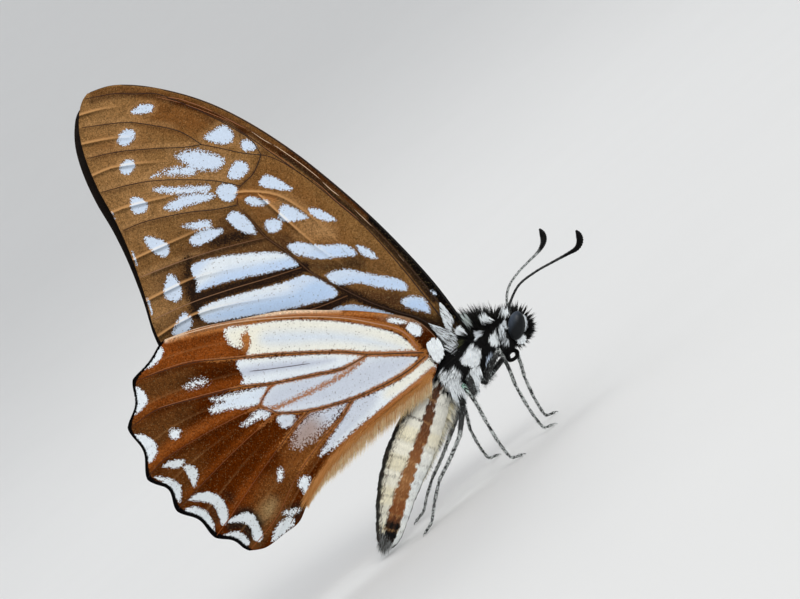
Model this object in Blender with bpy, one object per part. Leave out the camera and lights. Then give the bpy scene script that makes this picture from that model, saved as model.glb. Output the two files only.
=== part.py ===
# A life-size lesser zebra butterfly (Graphium macareus) standing with its wings closed over its back.
# The head points to +X, Y runs across the body and Z is up from the floor.
# Lengths are in millimetres, and MM turns them into metres. In the side view, (h, v) are measured
# from the root of the forewing: h forward and v up. The floor lies WING_ROOT_HEIGHT below that root.
import math

import bmesh
import bpy
from mathutils import Matrix, Vector, geometry

MM = 0.001

# Driving dimensions
WING_ROOT_HEIGHT = 14.7
GAP = 0.3
WING_THICKNESS = 0.5
VEIN_RISE = 0.15
VEIN_HALF_WIDTH = 0.42
SHEET_GRID = 3.2
GRID_CLEAR_OF_VEIN = 1.2
GRID_CLEAR_OF_EDGE = 1.0
FOREWING_OUT_AT_ROOT = 1.45
FOREWING_OUT = 1.2
HINDWING_OUT_AT_ROOT = 1.9
HINDWING_OUT = 2.6
HINDWING_OUT_FAR = 2.35
HINDWING_ROOT = (-4.0, -2.6)
LEFT_FOREWING_SWEEP = 1.35
LEFT_HINDWING_SWEEP = 0.55
FOOT_REST = 0.2

# Body stations along the middle line: (h, v, radius), with a width across as a share of the radius
THORAX_WIDTH = 0.83
THORAX = [
    (3.95, -3.4, 0.4), (3.6, -3.3, 1.15), (3.05, -3.2, 1.9), (2.1, -3.15, 2.55), (0.6, -3.25, 3.05),
    (-1.4, -3.45, 3.25), (-3.2, -3.75, 2.9), (-4.4, -4.05, 2.3), (-5.1, -4.3, 1.6), (-5.4, -4.4, 0.7),
]
ABDOMEN_WIDTH = 0.88
ABDOMEN = [
    (-4.6, -4.25, 1.0), (-5.6, -4.6, 1.4), (-6.8, -5.15, 1.78), (-8.3, -5.9, 2.08), (-10.2, -6.85, 2.27),
    (-12.2, -7.9, 2.33), (-14.1, -9.1, 2.2), (-15.8, -10.45, 1.92), (-17.4, -11.95, 1.5),
    (-18.6, -13.1, 1.12), (-19.4, -13.85, 0.7), (-19.75, -14.15, 0.3),
]
ABDOMEN_RINGS = 8
RING_DEPTH = 0.045

HEAD_CENTRE = (4.75, 0.0, -4.2)
HEAD_SEMI = (1.36, 1.42, 1.5)
EYE_CENTRE = (4.68, 1.27, -4.15)
EYE_SEMI = (1.43, 0.66, 1.0)
EYE_LEAN = 45.0

# Outline of a forewing, from the root up the leading edge, round the tip and back along the trailing edge
FOREWING_LEADING = [
    (0.75, -2.0), (0.9, 0.5), (1.0, 4.0), (0.8, 8.0), (0.25, 13.0), (-0.6, 18.0), (-2.0, 24.0),
    (-3.9, 29.5), (-6.2, 34.0), (-9.3, 38.0), (-12.2, 40.5), (-14.2, 41.4),
]
FOREWING_OUTER = [
    (-15.2, 41.5), (-16.3, 40.7), (-17.9, 38.8), (-19.1, 36.2), (-20.0, 33.0), (-20.6, 29.5),
    (-21.5, 26.0), (-22.8, 22.2), (-24.2, 18.9), (-24.9, 16.8),
]
FOREWING_TRAILING = [
    (-24.5, 15.6), (-20.0, 12.2), (-14.0, 8.0), (-8.0, 3.9), (-4.2, 1.0), (-2.4, -1.2), (-1.4, -2.3),
]
FOREWING_VEINS = {
    "subcosta": [(-0.1, -1.0), (-0.05, 6.0), (-0.6, 13.0), (-1.8, 20.0), (-3.6, 27.0), (-6.0, 32.6)],
    "radius_stem": [(-0.9, -0.6), (-0.75, 8.0), (-1.5, 16.0), (-2.9, 22.0), (-4.9, 25.6)],
    "radius_3": [(-4.9, 25.6), (-5.2, 29.6), (-7.4, 34.4), (-10.6, 38.0), (-15.3, 41.2)],
    "radius_45": [(-4.9, 25.6), (-9.1, 30.4)],
    "radius_4": [(-9.1, 30.4), (-10.6, 33.5), (-14.3, 37.3), (-17.4, 39.2)],
    "radius_5": [(-9.1, 30.4), (-13.0, 33.1), (-18.9, 36.3)],
    "media_1": [(-8.3, 24.6), (-11.7, 27.7), (-15.7, 30.7), (-20.0, 32.7)],
    "media_2": [(-10.0, 23.1), (-15.0, 25.8), (-20.8, 28.3)],
    "media_3": [(-9.8, 18.9), (-16.0, 21.4), (-22.2, 23.5)],
    "cubitus_1": [(-8.6, 13.9), (-16.0, 16.8), (-23.9, 19.4)],
    "cubitus_2": [(-6.7, 8.8), (-13.3, 11.6), (-24.7, 16.9)],
    "cell_under": [
        (-1.6, -0.6), (-2.8, 3.0), (-5.1, 6.5), (-6.7, 8.8), (-7.5, 11.7), (-8.6, 13.9), (-9.3, 17.1),
        (-9.8, 20.0), (-10.0, 23.1),
    ],
    "cell_end": [(-10.0, 23.1), (-8.3, 24.6), (-4.9, 25.6)],
    "anal": [(-1.9, -0.9), (-6.0, 3.3), (-14.0, 9.4), (-24.4, 16.0)],
}

HINDWING_LEADING = [
    (-2.4, -3.3), (-2.5, -0.6), (-2.8, 1.9), (-4.0, 3.9), (-7.0, 6.8), (-10.0, 9.2), (-13.0, 11.5),
    (-17.0, 13.6), (-21.0, 15.7), (-23.4, 16.8),
]
# Tooth tips of the scalloped margin, each with the depth of the notch that follows it
HINDWING_TEETH = [
    ((-24.5, 17.0), 0.22), ((-29.3, 15.7), 0.5), ((-32.7, 12.2), 0.65), ((-34.4, 7.0), 0.85),
    ((-34.0, 2.6), 0.55), ((-32.7, -1.8), 0.42), ((-30.9, -5.1), 0.0),
]
HINDWING_INNER = [
    (-29.4, -5.85), (-27.2, -6.0), (-25.2, -6.0), (-23.4, -5.4), (-21.0, -4.6), (-18.6, -4.0),
    (-15.0, -3.45), (-10.0, -3.15), (-6.6, -3.1), (-5.4, -3.9),
]
HINDWING_VEINS = {
    "subcosta": [(-4.6, -0.4), (-5.0, 2.4), (-7.5, 5.8), (-12.0, 10.0), (-18.7, 14.1), (-24.4, 16.9)],
    "radial_sector": [(-4.6, -1.0), (-9.1, 3.0), (-16.0, 8.5), (-22.7, 12.9), (-29.2, 15.5)],
    "media_1": [(-9.1, 3.0), (-12.5, 3.4), (-18.6, 6.7), (-24.0, 9.8), (-32.5, 12.1)],
    "media_2": [(-20.8, 5.7), (-26.7, 7.0), (-34.2, 7.1)],
    "media_3": [(-20.0, 4.0), (-26.7, 3.6), (-33.8, 2.6)],
    "cubitus_1": [(-17.3, 2.2), (-25.3, 0.3), (-32.5, -1.7)],
    "cubitus_2": [(-13.3, 0.4), (-20.0, -1.3), (-26.7, -4.1), (-30.8, -5.0)],
    "cell_under": [(-4.6, -1.6), (-8.0, -0.9), (-13.3, 0.4), (-17.3, 2.2), (-20.0, 4.0)],
    "cell_end": [(-20.0, 4.0), (-20.8, 5.7), (-18.6, 6.7)],
    "anal": [(-4.9, -2.2), (-14.0, -2.2), (-22.0, -3.7), (-27.5, -5.7)],
}

# Feelers and mouth parts: (h, y, v, radius), on the right side where y is negative
ANTENNA_RIGHT = [
    (5.2, -0.4, -3.5, 0.27), (5.5, -0.5, -2.75, 0.26), (6.05, -0.85, -2.1, 0.25), (7.7, -1.8, -1.25, 0.25),
    (9.7, -2.9, -1.2, 0.25), (11.5, -3.9, -1.45, 0.25), (13.1, -4.8, -1.7, 0.28), (14.1, -5.4, -1.8, 0.34),
    (14.75, -5.75, -1.45, 0.39), (15.05, -5.95, -0.85, 0.36), (15.1, -6.05, -0.3, 0.18),
]
ANTENNA_LEFT = [
    (5.2, 0.4, -3.5, 0.27), (5.5, 0.5, -2.75, 0.26), (6.3, 0.95, -1.6, 0.25), (7.4, 1.5, -0.85, 0.25),
    (9.0, 2.3, -0.45, 0.25), (10.7, 3.3, -0.3, 0.25), (12.4, 4.5, -0.2, 0.28), (13.4, 5.3, 0.05, 0.34),
    (14.0, 5.8, 0.45, 0.39), (14.3, 6.05, 1.0, 0.36), (14.4, 6.2, 1.55, 0.18),
]
PALP = [
    (4.3, 0.5, -5.3, 0.33), (4.9, 0.52, -5.85, 0.33), (5.6, 0.54, -6.05, 0.31), (6.25, 0.54, -5.75, 0.28),
    (6.6, 0.52, -5.1, 0.24), (6.75, 0.5, -4.5, 0.15),
]
PROBOSCIS = [
    (4.3, 0.0, -5.2, 0.27), (3.85, 0.0, -5.85, 0.26), (3.1, 0.0, -6.05, 0.25), (2.4, 0.0, -6.05, 0.25),
    (1.85, 0.0, -6.3, 0.25), (1.72, 0.0, -6.75, 0.25), (2.05, 0.0, -7.15, 0.25), (2.6, 0.0, -7.28, 0.25),
    (3.15, 0.0, -7.1, 0.22),
]

# Joints of each leg: hip, end of the coxa, knee, end of the tibia, heel and toe, as (h, y, v)
FLOOR = -WING_ROOT_HEIGHT
REST = FLOOR + FOOT_REST
LEGS = {
    "leg_fore_right": [
        (0.9, -1.05, -4.9), (-1.5, -1.3, -7.0), (1.75, -2.4, -5.0), (0.75, -3.0, -9.0),
        (0.2, -3.3, REST + 0.15), (1.3, -3.6, REST),
    ],
    "leg_fore_left": [
        (1.6, 1.05, -4.8), (-0.6, 1.25, -7.0), (3.8, 2.5, -6.15), (2.8, 3.1, -9.5),
        (2.0, 3.6, REST + 0.15), (3.1, 3.9, REST),
    ],
    "leg_mid_right": [
        (-2.3, -1.5, -5.2), (-3.05, -2.15, -7.0), (-3.65, -4.6, -5.5), (-4.2, -5.4, -9.8),
        (-4.6, -6.0, REST + 0.15), (-3.5, -6.5, REST),
    ],
    "leg_mid_left": [
        (-1.9, 1.5, -5.2), (-2.6, 2.15, -7.0), (-3.4, 4.7, -6.2), (-4.9, 5.6, -10.4),
        (-5.3, 6.1, REST + 0.15), (-4.2, 6.6, REST),
    ],
    "leg_hind_right": [
        (-3.9, -1.0, -5.2), (-4.6, -1.75, -7.3), (-7.1, -4.0, -9.35), (-11.6, -5.2, -11.4),
        (-14.9, -5.9, REST + 0.15), (-16.1, -6.2, REST),
    ],
    "leg_hind_left": [
        (-3.9, 1.0, -5.2), (-4.5, 1.75, -7.4), (-7.5, 4.2, -9.7), (-11.3, 5.3, -11.9),
        (-14.2, 6.0, REST + 0.15), (-15.5, 6.3, REST),
    ],
}
COXA_RADII = (0.62, 0.44)
FEMUR_RADII = (0.31, 0.28)
TIBIA_RADII = (0.27, 0.25)
TARSUS_RADII = (0.25, 0.25, 0.25)


def point(h, y, v):
    # A place in metres above the floor
    return Vector((h, y, v + WING_ROOT_HEIGHT)) * MM


def smooth_path(stations, per_span):
    # A Catmull-Rom curve through the stations, which may carry a radius as their last number
    ends = [stations[0], *stations, stations[-1]]
    found = []
    for i in range(len(stations) - 1):
        a, b, c, d = (Vector(s) for s in ends[i:i + 4])
        for k in range(per_span):
            t = k / per_span
            found.append(
                0.5 * ((2 * b) + (c - a) * t + (2 * a - 5 * b + 4 * c - d) * t * t
                       + (3 * b - a - 3 * c + d) * t ** 3)
            )
    found.append(Vector(stations[-1]))
    return found


def smooth_flat(points, per_span):
    # The same curve through points of the side view
    return [(p[0], p[1]) for p in smooth_path([(h, v, 0.0) for h, v in points], per_span)]


def smoothstep(x):
    x = min(1.0, max(0.0, x))
    return x * x * (3 - 2 * x)


def material(name, colour, roughness):
    made = bpy.data.materials.new(name)
    made.use_nodes = True
    shader = made.node_tree.nodes["Principled BSDF"]
    shader.inputs["Base Color"].default_value = (*colour, 1.0)
    shader.inputs["Roughness"].default_value = roughness
    return made


def mesh_object(name, mesh, collection):
    made = bpy.data.objects.new(name, mesh)
    collection.objects.link(made)
    return made


def evaluated_mesh(obj):
    bpy.context.view_layer.update()
    graph = bpy.context.evaluated_depsgraph_get()
    return bpy.data.meshes.new_from_object(obj.evaluated_get(graph))


def tube(name, stations, collection, bevel=2, width=1.0, grow=0.0):
    # A round tube through stations (h, y, v, radius). Growing it also moves its ends outwards.
    stations = [Vector(s) for s in stations]
    if grow:
        first = (stations[0].xyz - stations[1].xyz).normalized() * grow
        last = (stations[-1].xyz - stations[-2].xyz).normalized() * grow
        stations[0] = Vector((*(stations[0].xyz + first), stations[0].w))
        stations[-1] = Vector((*(stations[-1].xyz + last), stations[-1].w))
    data = bpy.data.curves.new(name + "_path", "CURVE")
    data.dimensions = "3D"
    data.bevel_depth = MM
    data.bevel_resolution = bevel
    data.use_fill_caps = True
    spline = data.splines.new("POLY")
    spline.points.add(len(stations) - 1)
    for target, s in zip(spline.points, stations):
        target.co = (*point(s.x, s.y, s.z), 1.0)
        target.radius = s.w + grow
    curve = mesh_object(name + "_path", data, collection)
    mesh = evaluated_mesh(curve)
    bpy.data.objects.remove(curve)
    bm = bmesh.new()
    bm.from_mesh(mesh)
    bmesh.ops.remove_doubles(bm, verts=bm.verts, dist=0.001 * MM)
    bmesh.ops.scale(bm, vec=(1.0, width, 1.0), verts=bm.verts)
    bmesh.ops.recalc_face_normals(bm, faces=bm.faces)
    bm.to_mesh(mesh)
    bm.free()
    return mesh_object(name, mesh, collection)


def ellipsoid(name, centre, semi, lean, collection, segments=20, rings=12, grow=0.0):
    # Semi-axes along the body, across it and up, then turned nose-up by lean degrees
    bpy.ops.mesh.primitive_uv_sphere_add(segments=segments, ring_count=rings, radius=1.0)
    made = bpy.context.object
    made.name = name
    size = Matrix.Diagonal((*((s + grow) * MM for s in semi), 1.0))
    turn = Matrix.Rotation(-math.radians(lean), 4, "Y")
    made.data.transform(Matrix.Translation(point(*centre)) @ turn @ size)
    for held in list(made.users_collection):
        held.objects.unlink(made)
    collection.objects.link(made)
    return made


def largest_surface(mesh):
    # Keeps only the largest closed surface, so that no scrap of a cut is left
    bm = bmesh.new()
    bm.from_mesh(mesh)
    unseen = set(bm.verts)
    groups = []
    while unseen:
        group = set()
        edge = [unseen.pop()]
        while edge:
            v = edge.pop()
            group.add(v)
            for e in v.link_edges:
                other = e.other_vert(v)
                if other in unseen:
                    unseen.discard(other)
                    edge.append(other)
        groups.append(group)
    groups.sort(key=len, reverse=True)
    for group in groups[1:]:
        bmesh.ops.delete(bm, geom=list(group), context="VERTS")
    bm.to_mesh(mesh)
    bm.free()


def fused(name, pieces, collection):
    # Joins closed pieces into one body and removes them
    held = bpy.data.collections.new(name + "_pieces")
    bpy.context.scene.collection.children.link(held)
    for piece in pieces[1:]:
        for where in list(piece.users_collection):
            where.objects.unlink(piece)
        held.objects.link(piece)
    join = pieces[0].modifiers.new("join", "BOOLEAN")
    join.operation = "UNION"
    join.operand_type = "COLLECTION"
    join.collection = held
    join.solver = "MANIFOLD"
    mesh = evaluated_mesh(pieces[0])
    for piece in pieces:
        bpy.data.objects.remove(piece)
    bpy.data.collections.remove(held)
    return mesh_object(name, mesh, collection)


def cut(obj, cutters):
    # Takes the cutters away and keeps what is left as one closed surface
    for cutter in cutters:
        away = obj.modifiers.new("clear of " + cutter.name, "BOOLEAN")
        away.operation = "DIFFERENCE"
        away.object = cutter
        away.solver = "EXACT"
    mesh = evaluated_mesh(obj)
    obj.modifiers.clear()
    obj.data = mesh
    largest_surface(mesh)
    return obj


def finish(obj, finish_material, sharp=50.0):
    obj.data.materials.clear()
    obj.data.materials.append(finish_material)
    obj.data.shade_smooth()
    obj.data.set_sharp_from_angle(angle=math.radians(sharp))


def segment_distance(p, a, b):
    along = b - a
    t = min(1.0, max(0.0, (p - a).dot(along) / max(along.length_squared, 1e-9)))
    return (p - a - along * t).length


def vein_distance(p, lines):
    return min(segment_distance(p, a, b) for line in lines for a, b in zip(line, line[1:]))


def forewing_out(h, v):
    # How far the middle of the forewing stands from the middle plane of the body
    return FOREWING_OUT_AT_ROOT + (FOREWING_OUT - FOREWING_OUT_AT_ROOT) * smoothstep(v / 8.0)


def hindwing_out(h, v):
    far = math.hypot(h - HINDWING_ROOT[0], v - HINDWING_ROOT[1])
    rise = (HINDWING_OUT - HINDWING_OUT_AT_ROOT) * smoothstep(far / 3.5)
    settle = (HINDWING_OUT_FAR - HINDWING_OUT) * smoothstep((far - 6.0) / 10.0)
    return HINDWING_OUT_AT_ROOT + rise + settle


def scalloped(teeth, per_notch):
    # The outer margin from tooth to tooth, pulled in between them by a raised cosine
    found = []
    for (start, depth), (end, _) in zip(teeth, teeth[1:]):
        a = Vector(start)
        b = Vector(end)
        inward = Vector((-(b - a).y, (b - a).x)).normalized()
        for k in range(per_notch):
            t = k / per_notch
            found.append(tuple(a.lerp(b, t) + inward * depth * (0.5 - 0.5 * math.cos(2 * math.pi * t))))
    found.append(teeth[-1][0])
    return found


def sheet_plan(outline, veins):
    # Triangles over the outline, with an edge along the middle and both sides of each vein
    lines = [[Vector(p) for p in smooth_flat(line, 2)] for line in veins.values()]
    coords = [Vector(p) for p in outline]
    face = list(range(len(coords)))
    edges = []
    for line in lines:
        normals = []
        for i, p in enumerate(line):
            along = line[min(i + 1, len(line) - 1)] - line[max(i - 1, 0)]
            normals.append(Vector((-along.y, along.x)).normalized())
        for share in (-1.0, 0.0, 1.0):
            first = len(coords)
            coords += [p + n * share * VEIN_HALF_WIDTH for p, n in zip(line, normals)]
            edges += [(first + i, first + i + 1) for i in range(len(line) - 1)]
    low = Vector((min(p[0] for p in outline), min(p[1] for p in outline)))
    high = Vector((max(p[0] for p in outline), max(p[1] for p in outline)))
    ring = [Vector(p) for p in outline]
    for i in range(int((high.x - low.x) / SHEET_GRID) + 1):
        for k in range(int((high.y - low.y) / SHEET_GRID) + 1):
            p = low + Vector((i + 0.5, k + 0.5)) * SHEET_GRID
            clear_of_edge = vein_distance(p, [ring + ring[:1]]) > GRID_CLEAR_OF_EDGE
            if clear_of_edge and vein_distance(p, lines) > GRID_CLEAR_OF_VEIN:
                coords.append(p)
    plan = geometry.delaunay_2d_cdt(coords, edges, [face], 1, 0.02)
    return plan[0], plan[2], lines


def wing(name, outline, veins, out, side, sweep, collection):
    # A membrane whose veins are raised on both faces. Both faces are split into triangles alike.
    coords, faces, lines = sheet_plan(outline, veins)
    turn = Matrix.Rotation(math.radians(sweep), 2)
    bm = bmesh.new()
    layers = {}
    for face_side in (-1.0, 1.0):
        made = []
        for p in coords:
            ridge = max(0.0, 1.0 - vein_distance(p, lines) / VEIN_HALF_WIDTH)
            half = WING_THICKNESS / 2 + VEIN_RISE * ridge
            turned = turn @ p
            made.append(bm.verts.new(point(turned.x, side * out(p.x, p.y) + face_side * half, turned.y)))
        layers[face_side] = made
    rim = {}
    for face in faces:
        for face_side in (-1.0, 1.0):
            bm.faces.new([layers[face_side][i] for i in face])
        for a, b in zip(face, face[1:] + face[:1]):
            rim[(a, b)] = True
    for a, b in rim:
        if (b, a) not in rim:
            low, high = layers[-1.0], layers[1.0]
            bm.faces.new([low[a], low[b], high[b]])
            bm.faces.new([low[a], high[b], high[a]])
    loose = [v for v in bm.verts if not v.link_faces]
    bmesh.ops.delete(bm, geom=loose, context="VERTS")
    bmesh.ops.recalc_face_normals(bm, faces=bm.faces)
    mesh = bpy.data.meshes.new(name)
    bm.to_mesh(mesh)
    bm.free()
    return mesh_object(name, mesh, collection)


def ringed(stations, rings, depth):
    # Narrows the abdomen a little at each ring between its segments
    path = smooth_path([(h, 0.0, v, r) for h, v, r in stations], 3)
    found = []
    for i, s in enumerate(path):
        wave = 0.5 + 0.5 * math.cos(2 * math.pi * rings * i / (len(path) - 1))
        found.append((s.x, s.y, s.z, s.w * (1 - depth * wave)))
    return found


def leg(name, joints, collection):
    # Coxa, femur, tibia and tarsus as tapered lengths that overlap at the joints
    hip, trochanter, knee, ankle, heel, toe = (Vector(j) for j in joints)

    def length(part, places, radii):
        reach = radii[0] * 0.5
        places = [Vector(p) for p in places]
        places[0] = places[0] - (places[1] - places[0]).normalized() * reach
        places[-1] = places[-1] + (places[-1] - places[-2]).normalized() * radii[-1] * 0.5
        stations = [(*p, r) for p, r in zip(places, radii)]
        return tube(name + part, stations, collection)

    bow = (knee + ankle) / 2 + Vector((0.15, 0.0, 0.0))
    mean = (TIBIA_RADII[0] + TIBIA_RADII[1]) / 2
    thigh = trochanter.lerp(knee, 0.4)
    instep = ankle.lerp(heel, 0.5) - Vector((0.12, 0.0, 0.0))
    pieces = [
        length("_femur", [trochanter, thigh, knee], (FEMUR_RADII[0], FEMUR_RADII[0] + 0.05, FEMUR_RADII[1])),
        length("_coxa", [hip, trochanter], COXA_RADII),
        length("_tibia", [knee, bow, ankle], (TIBIA_RADII[0], mean, TIBIA_RADII[1])),
        length("_tarsus", [ankle, instep, heel.lerp(ankle, 0.08), heel.lerp(toe, 0.2), toe],
               (TARSUS_RADII[0], TARSUS_RADII[1], TARSUS_RADII[1], TARSUS_RADII[2], TARSUS_RADII[2])),
    ]
    return fused(name, pieces, collection)


def build():
    for obj in list(bpy.data.objects):
        bpy.data.objects.remove(obj)
    scene = bpy.context.scene
    butterfly = bpy.data.collections.new("lesser_zebra_butterfly")
    cutters = bpy.data.collections.new("cutters")
    scene.collection.children.link(butterfly)
    scene.collection.children.link(cutters)

    brown = material("wing_brown", (0.23, 0.11, 0.045), 0.6)
    russet = material("wing_russet", (0.25, 0.09, 0.03), 0.6)
    black = material("body_black", (0.02, 0.018, 0.016), 0.7)
    cream = material("abdomen_cream", (0.72, 0.66, 0.48), 0.7)
    horn = material("horn_black", (0.012, 0.011, 0.01), 0.35)
    eye_grey = material("eye_grey", (0.03, 0.03, 0.04), 0.2)
    leg_grey = material("leg_grey", (0.3, 0.3, 0.28), 0.6)

    thorax_stations = [tuple(s) for s in smooth_path([(h, 0.0, v, r) for h, v, r in THORAX], 2)]
    thorax = tube("thorax", thorax_stations, butterfly, 7, THORAX_WIDTH)
    around_thorax = tube("around_thorax", thorax_stations, cutters, 7, THORAX_WIDTH, GAP)
    finish(thorax, black)

    reach = 60.0
    bpy.ops.mesh.primitive_cube_add(size=1.0)
    floor_cutter = bpy.context.object
    floor_cutter.name = "floor_cutter"
    box = Matrix.Diagonal((2 * reach * MM, 2 * reach * MM, reach * MM, 1.0))
    floor_cutter.data.transform(Matrix.Translation((0.0, 0.0, -reach / 2 * MM)) @ box)
    for held in list(floor_cutter.users_collection):
        held.objects.unlink(floor_cutter)
    cutters.objects.link(floor_cutter)

    abdomen = tube("abdomen", ringed(ABDOMEN, ABDOMEN_RINGS, RING_DEPTH), butterfly, 6, ABDOMEN_WIDTH)
    cut(abdomen, [around_thorax, floor_cutter])
    finish(abdomen, cream)

    head = ellipsoid("head", HEAD_CENTRE, HEAD_SEMI, 0.0, butterfly)
    around_eyes = []
    for side_name, side in (("right", -1.0), ("left", 1.0)):
        centre = (EYE_CENTRE[0], side * EYE_CENTRE[1], EYE_CENTRE[2])
        eye = ellipsoid("eye_" + side_name, centre, EYE_SEMI, EYE_LEAN, butterfly, 20, 12)
        finish(eye, eye_grey)
        around_eyes.append(
            ellipsoid("around_eye_" + side_name, centre, EYE_SEMI, EYE_LEAN, cutters, 20, 12, GAP)
        )
    cut(head, [around_thorax, *around_eyes])
    finish(head, black)
    around_head = ellipsoid("around_head", HEAD_CENTRE, HEAD_SEMI, 0.0, cutters, grow=GAP)

    for side_name, side in (("right", -1.0), ("left", 1.0)):
        palp = tube("palp_" + side_name, [(h, side * y, v, r) for h, y, v, r in PALP], butterfly)
        cut(palp, [around_head])
        finish(palp, black)
    for name, stations in (("antenna_right", ANTENNA_RIGHT), ("antenna_left", ANTENNA_LEFT)):
        antenna = tube(name, [tuple(s) for s in smooth_path(stations, 2)], butterfly)
        cut(antenna, [around_head])
        finish(antenna, horn)
    proboscis = tube("proboscis", [tuple(s) for s in smooth_path(PROBOSCIS, 2)], butterfly)
    cut(proboscis, [around_head])
    finish(proboscis, horn)

    for name, joints in LEGS.items():
        made = leg(name, joints, butterfly)
        cut(made, [around_thorax, floor_cutter])
        finish(made, leg_grey)

    forewing = smooth_flat(FOREWING_LEADING, 2) + smooth_flat(FOREWING_OUTER, 2) + smooth_flat(
        FOREWING_TRAILING, 2
    )
    hindwing = smooth_flat(HINDWING_LEADING, 2) + scalloped(HINDWING_TEETH, 6) + smooth_flat(
        HINDWING_INNER, 2
    )
    for side_name, side, fore_sweep, hind_sweep in (
        ("right", -1.0, 0.0, 0.0),
        ("left", 1.0, LEFT_FOREWING_SWEEP, LEFT_HINDWING_SWEEP),
    ):
        fore = wing("forewing_" + side_name, forewing, FOREWING_VEINS, forewing_out, side, fore_sweep,
                    butterfly)
        hind = wing("hindwing_" + side_name, hindwing, HINDWING_VEINS, hindwing_out, side, hind_sweep,
                    butterfly)
        cut(fore, [around_thorax])
        cut(hind, [around_thorax])
        finish(fore, brown)
        finish(hind, russet)

    for cutter in cutters.objects:
        cutter.hide_render = True
        cutter.display_type = "WIRE"

    stand_on_origin(butterfly)


def stand_on_origin(collection):
    # Hangs every piece on one empty, with the middle of the whole model's base at the origin
    corners = [v.co for obj in collection.objects for v in obj.data.vertices]
    middle = [(min(c[i] for c in corners) + max(c[i] for c in corners)) / 2 for i in (0, 1)]
    base = min(c.z for c in corners)
    whole = bpy.data.objects.new("butterfly", None)
    collection.objects.link(whole)
    whole.location = (-middle[0], -middle[1], -base)
    for obj in collection.objects:
        if obj.type == "MESH":
            obj.parent = whole


build()
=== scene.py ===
import math

import bmesh
import bpy
import numpy as np
from mathutils import Matrix, Vector


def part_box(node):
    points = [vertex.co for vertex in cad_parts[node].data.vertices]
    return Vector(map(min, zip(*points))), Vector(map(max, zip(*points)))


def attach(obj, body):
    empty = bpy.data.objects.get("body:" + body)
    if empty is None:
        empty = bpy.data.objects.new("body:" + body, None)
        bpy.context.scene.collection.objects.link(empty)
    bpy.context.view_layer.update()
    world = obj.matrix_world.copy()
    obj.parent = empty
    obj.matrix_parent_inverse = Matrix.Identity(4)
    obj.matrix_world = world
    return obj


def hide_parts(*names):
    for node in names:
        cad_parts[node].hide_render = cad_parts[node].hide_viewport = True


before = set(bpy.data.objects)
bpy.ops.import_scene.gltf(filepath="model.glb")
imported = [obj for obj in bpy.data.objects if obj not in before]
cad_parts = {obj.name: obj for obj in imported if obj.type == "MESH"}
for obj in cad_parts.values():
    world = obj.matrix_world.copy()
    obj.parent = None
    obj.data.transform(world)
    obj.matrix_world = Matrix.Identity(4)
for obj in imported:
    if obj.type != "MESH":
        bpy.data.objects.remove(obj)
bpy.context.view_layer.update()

# Places on the animal are in millimetres from the root of its right forewing:
# h runs forwards, y across to the left, v up. The floor lies floorDrop below that root.
mm = 0.001
leadingEdgeAhead = 1.0
floorDrop = 14.7
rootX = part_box("forewing_right")[1].x - leadingEdgeAhead * mm
rootZ = floorDrop * mm
sideNames = {-1: "right", 1: "left"}


def place(h, y, v):
    return Vector((rootX + h * mm, y * mm, rootZ + v * mm))


def placeAll(points):
    # The same for an array of (h, y, v) rows
    return np.asarray(points, float) * mm + np.array([rootX, 0.0, rootZ])


def placeRods(rows):
    # The same for rows of (h, y, v, radius)
    return np.hstack([placeAll(rows[:, :3]), rows[:, 3:] * mm])


def unplace(points):
    return (np.asarray(points, float) - np.array([rootX, 0.0, rootZ])) / mm


def linear(red, green, blue):
    # A colour as the eye reads it, 0 to 255, made linear for the shaders
    def one(c):
        c = c / 255
        return c / 12.92 if c <= 0.04045 else ((c + 0.055) / 1.055) ** 2.4
    return (one(red), one(green), one(blue))


def copies(row, count):
    return np.tile(np.array(row), (count, 1))


def unit(vectors):
    return vectors / np.maximum(np.linalg.norm(vectors, axis=1), 1e-12)[:, None]


def ease(x):
    x = np.clip(x, 0.0, 1.0)
    return x * x * (3 - 2 * x)


# Shader maths as plain arithmetic
class Wire:
    def __init__(self, finish, socket):
        self.finish = finish
        self.socket = socket

    def maths(self, operation, *terms):
        return self.finish.add("ShaderNodeMath", {"operation": operation}, dict(enumerate(terms)))

    def __add__(self, other):
        return self.maths("ADD", self, other)

    def __radd__(self, other):
        return self.maths("ADD", other, self)

    def __sub__(self, other):
        return self.maths("SUBTRACT", self, other)

    def __rsub__(self, other):
        return self.maths("SUBTRACT", other, self)

    def __mul__(self, other):
        return self.maths("MULTIPLY", self, other)

    def between(self, low, high):
        # 0 at low, 1 at high, with soft ends
        return self.finish.add(
            "ShaderNodeMapRange",
            {"interpolation_type": "SMOOTHSTEP"},
            {"Value": self, "From Min": low, "From Max": high},
        )


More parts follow.
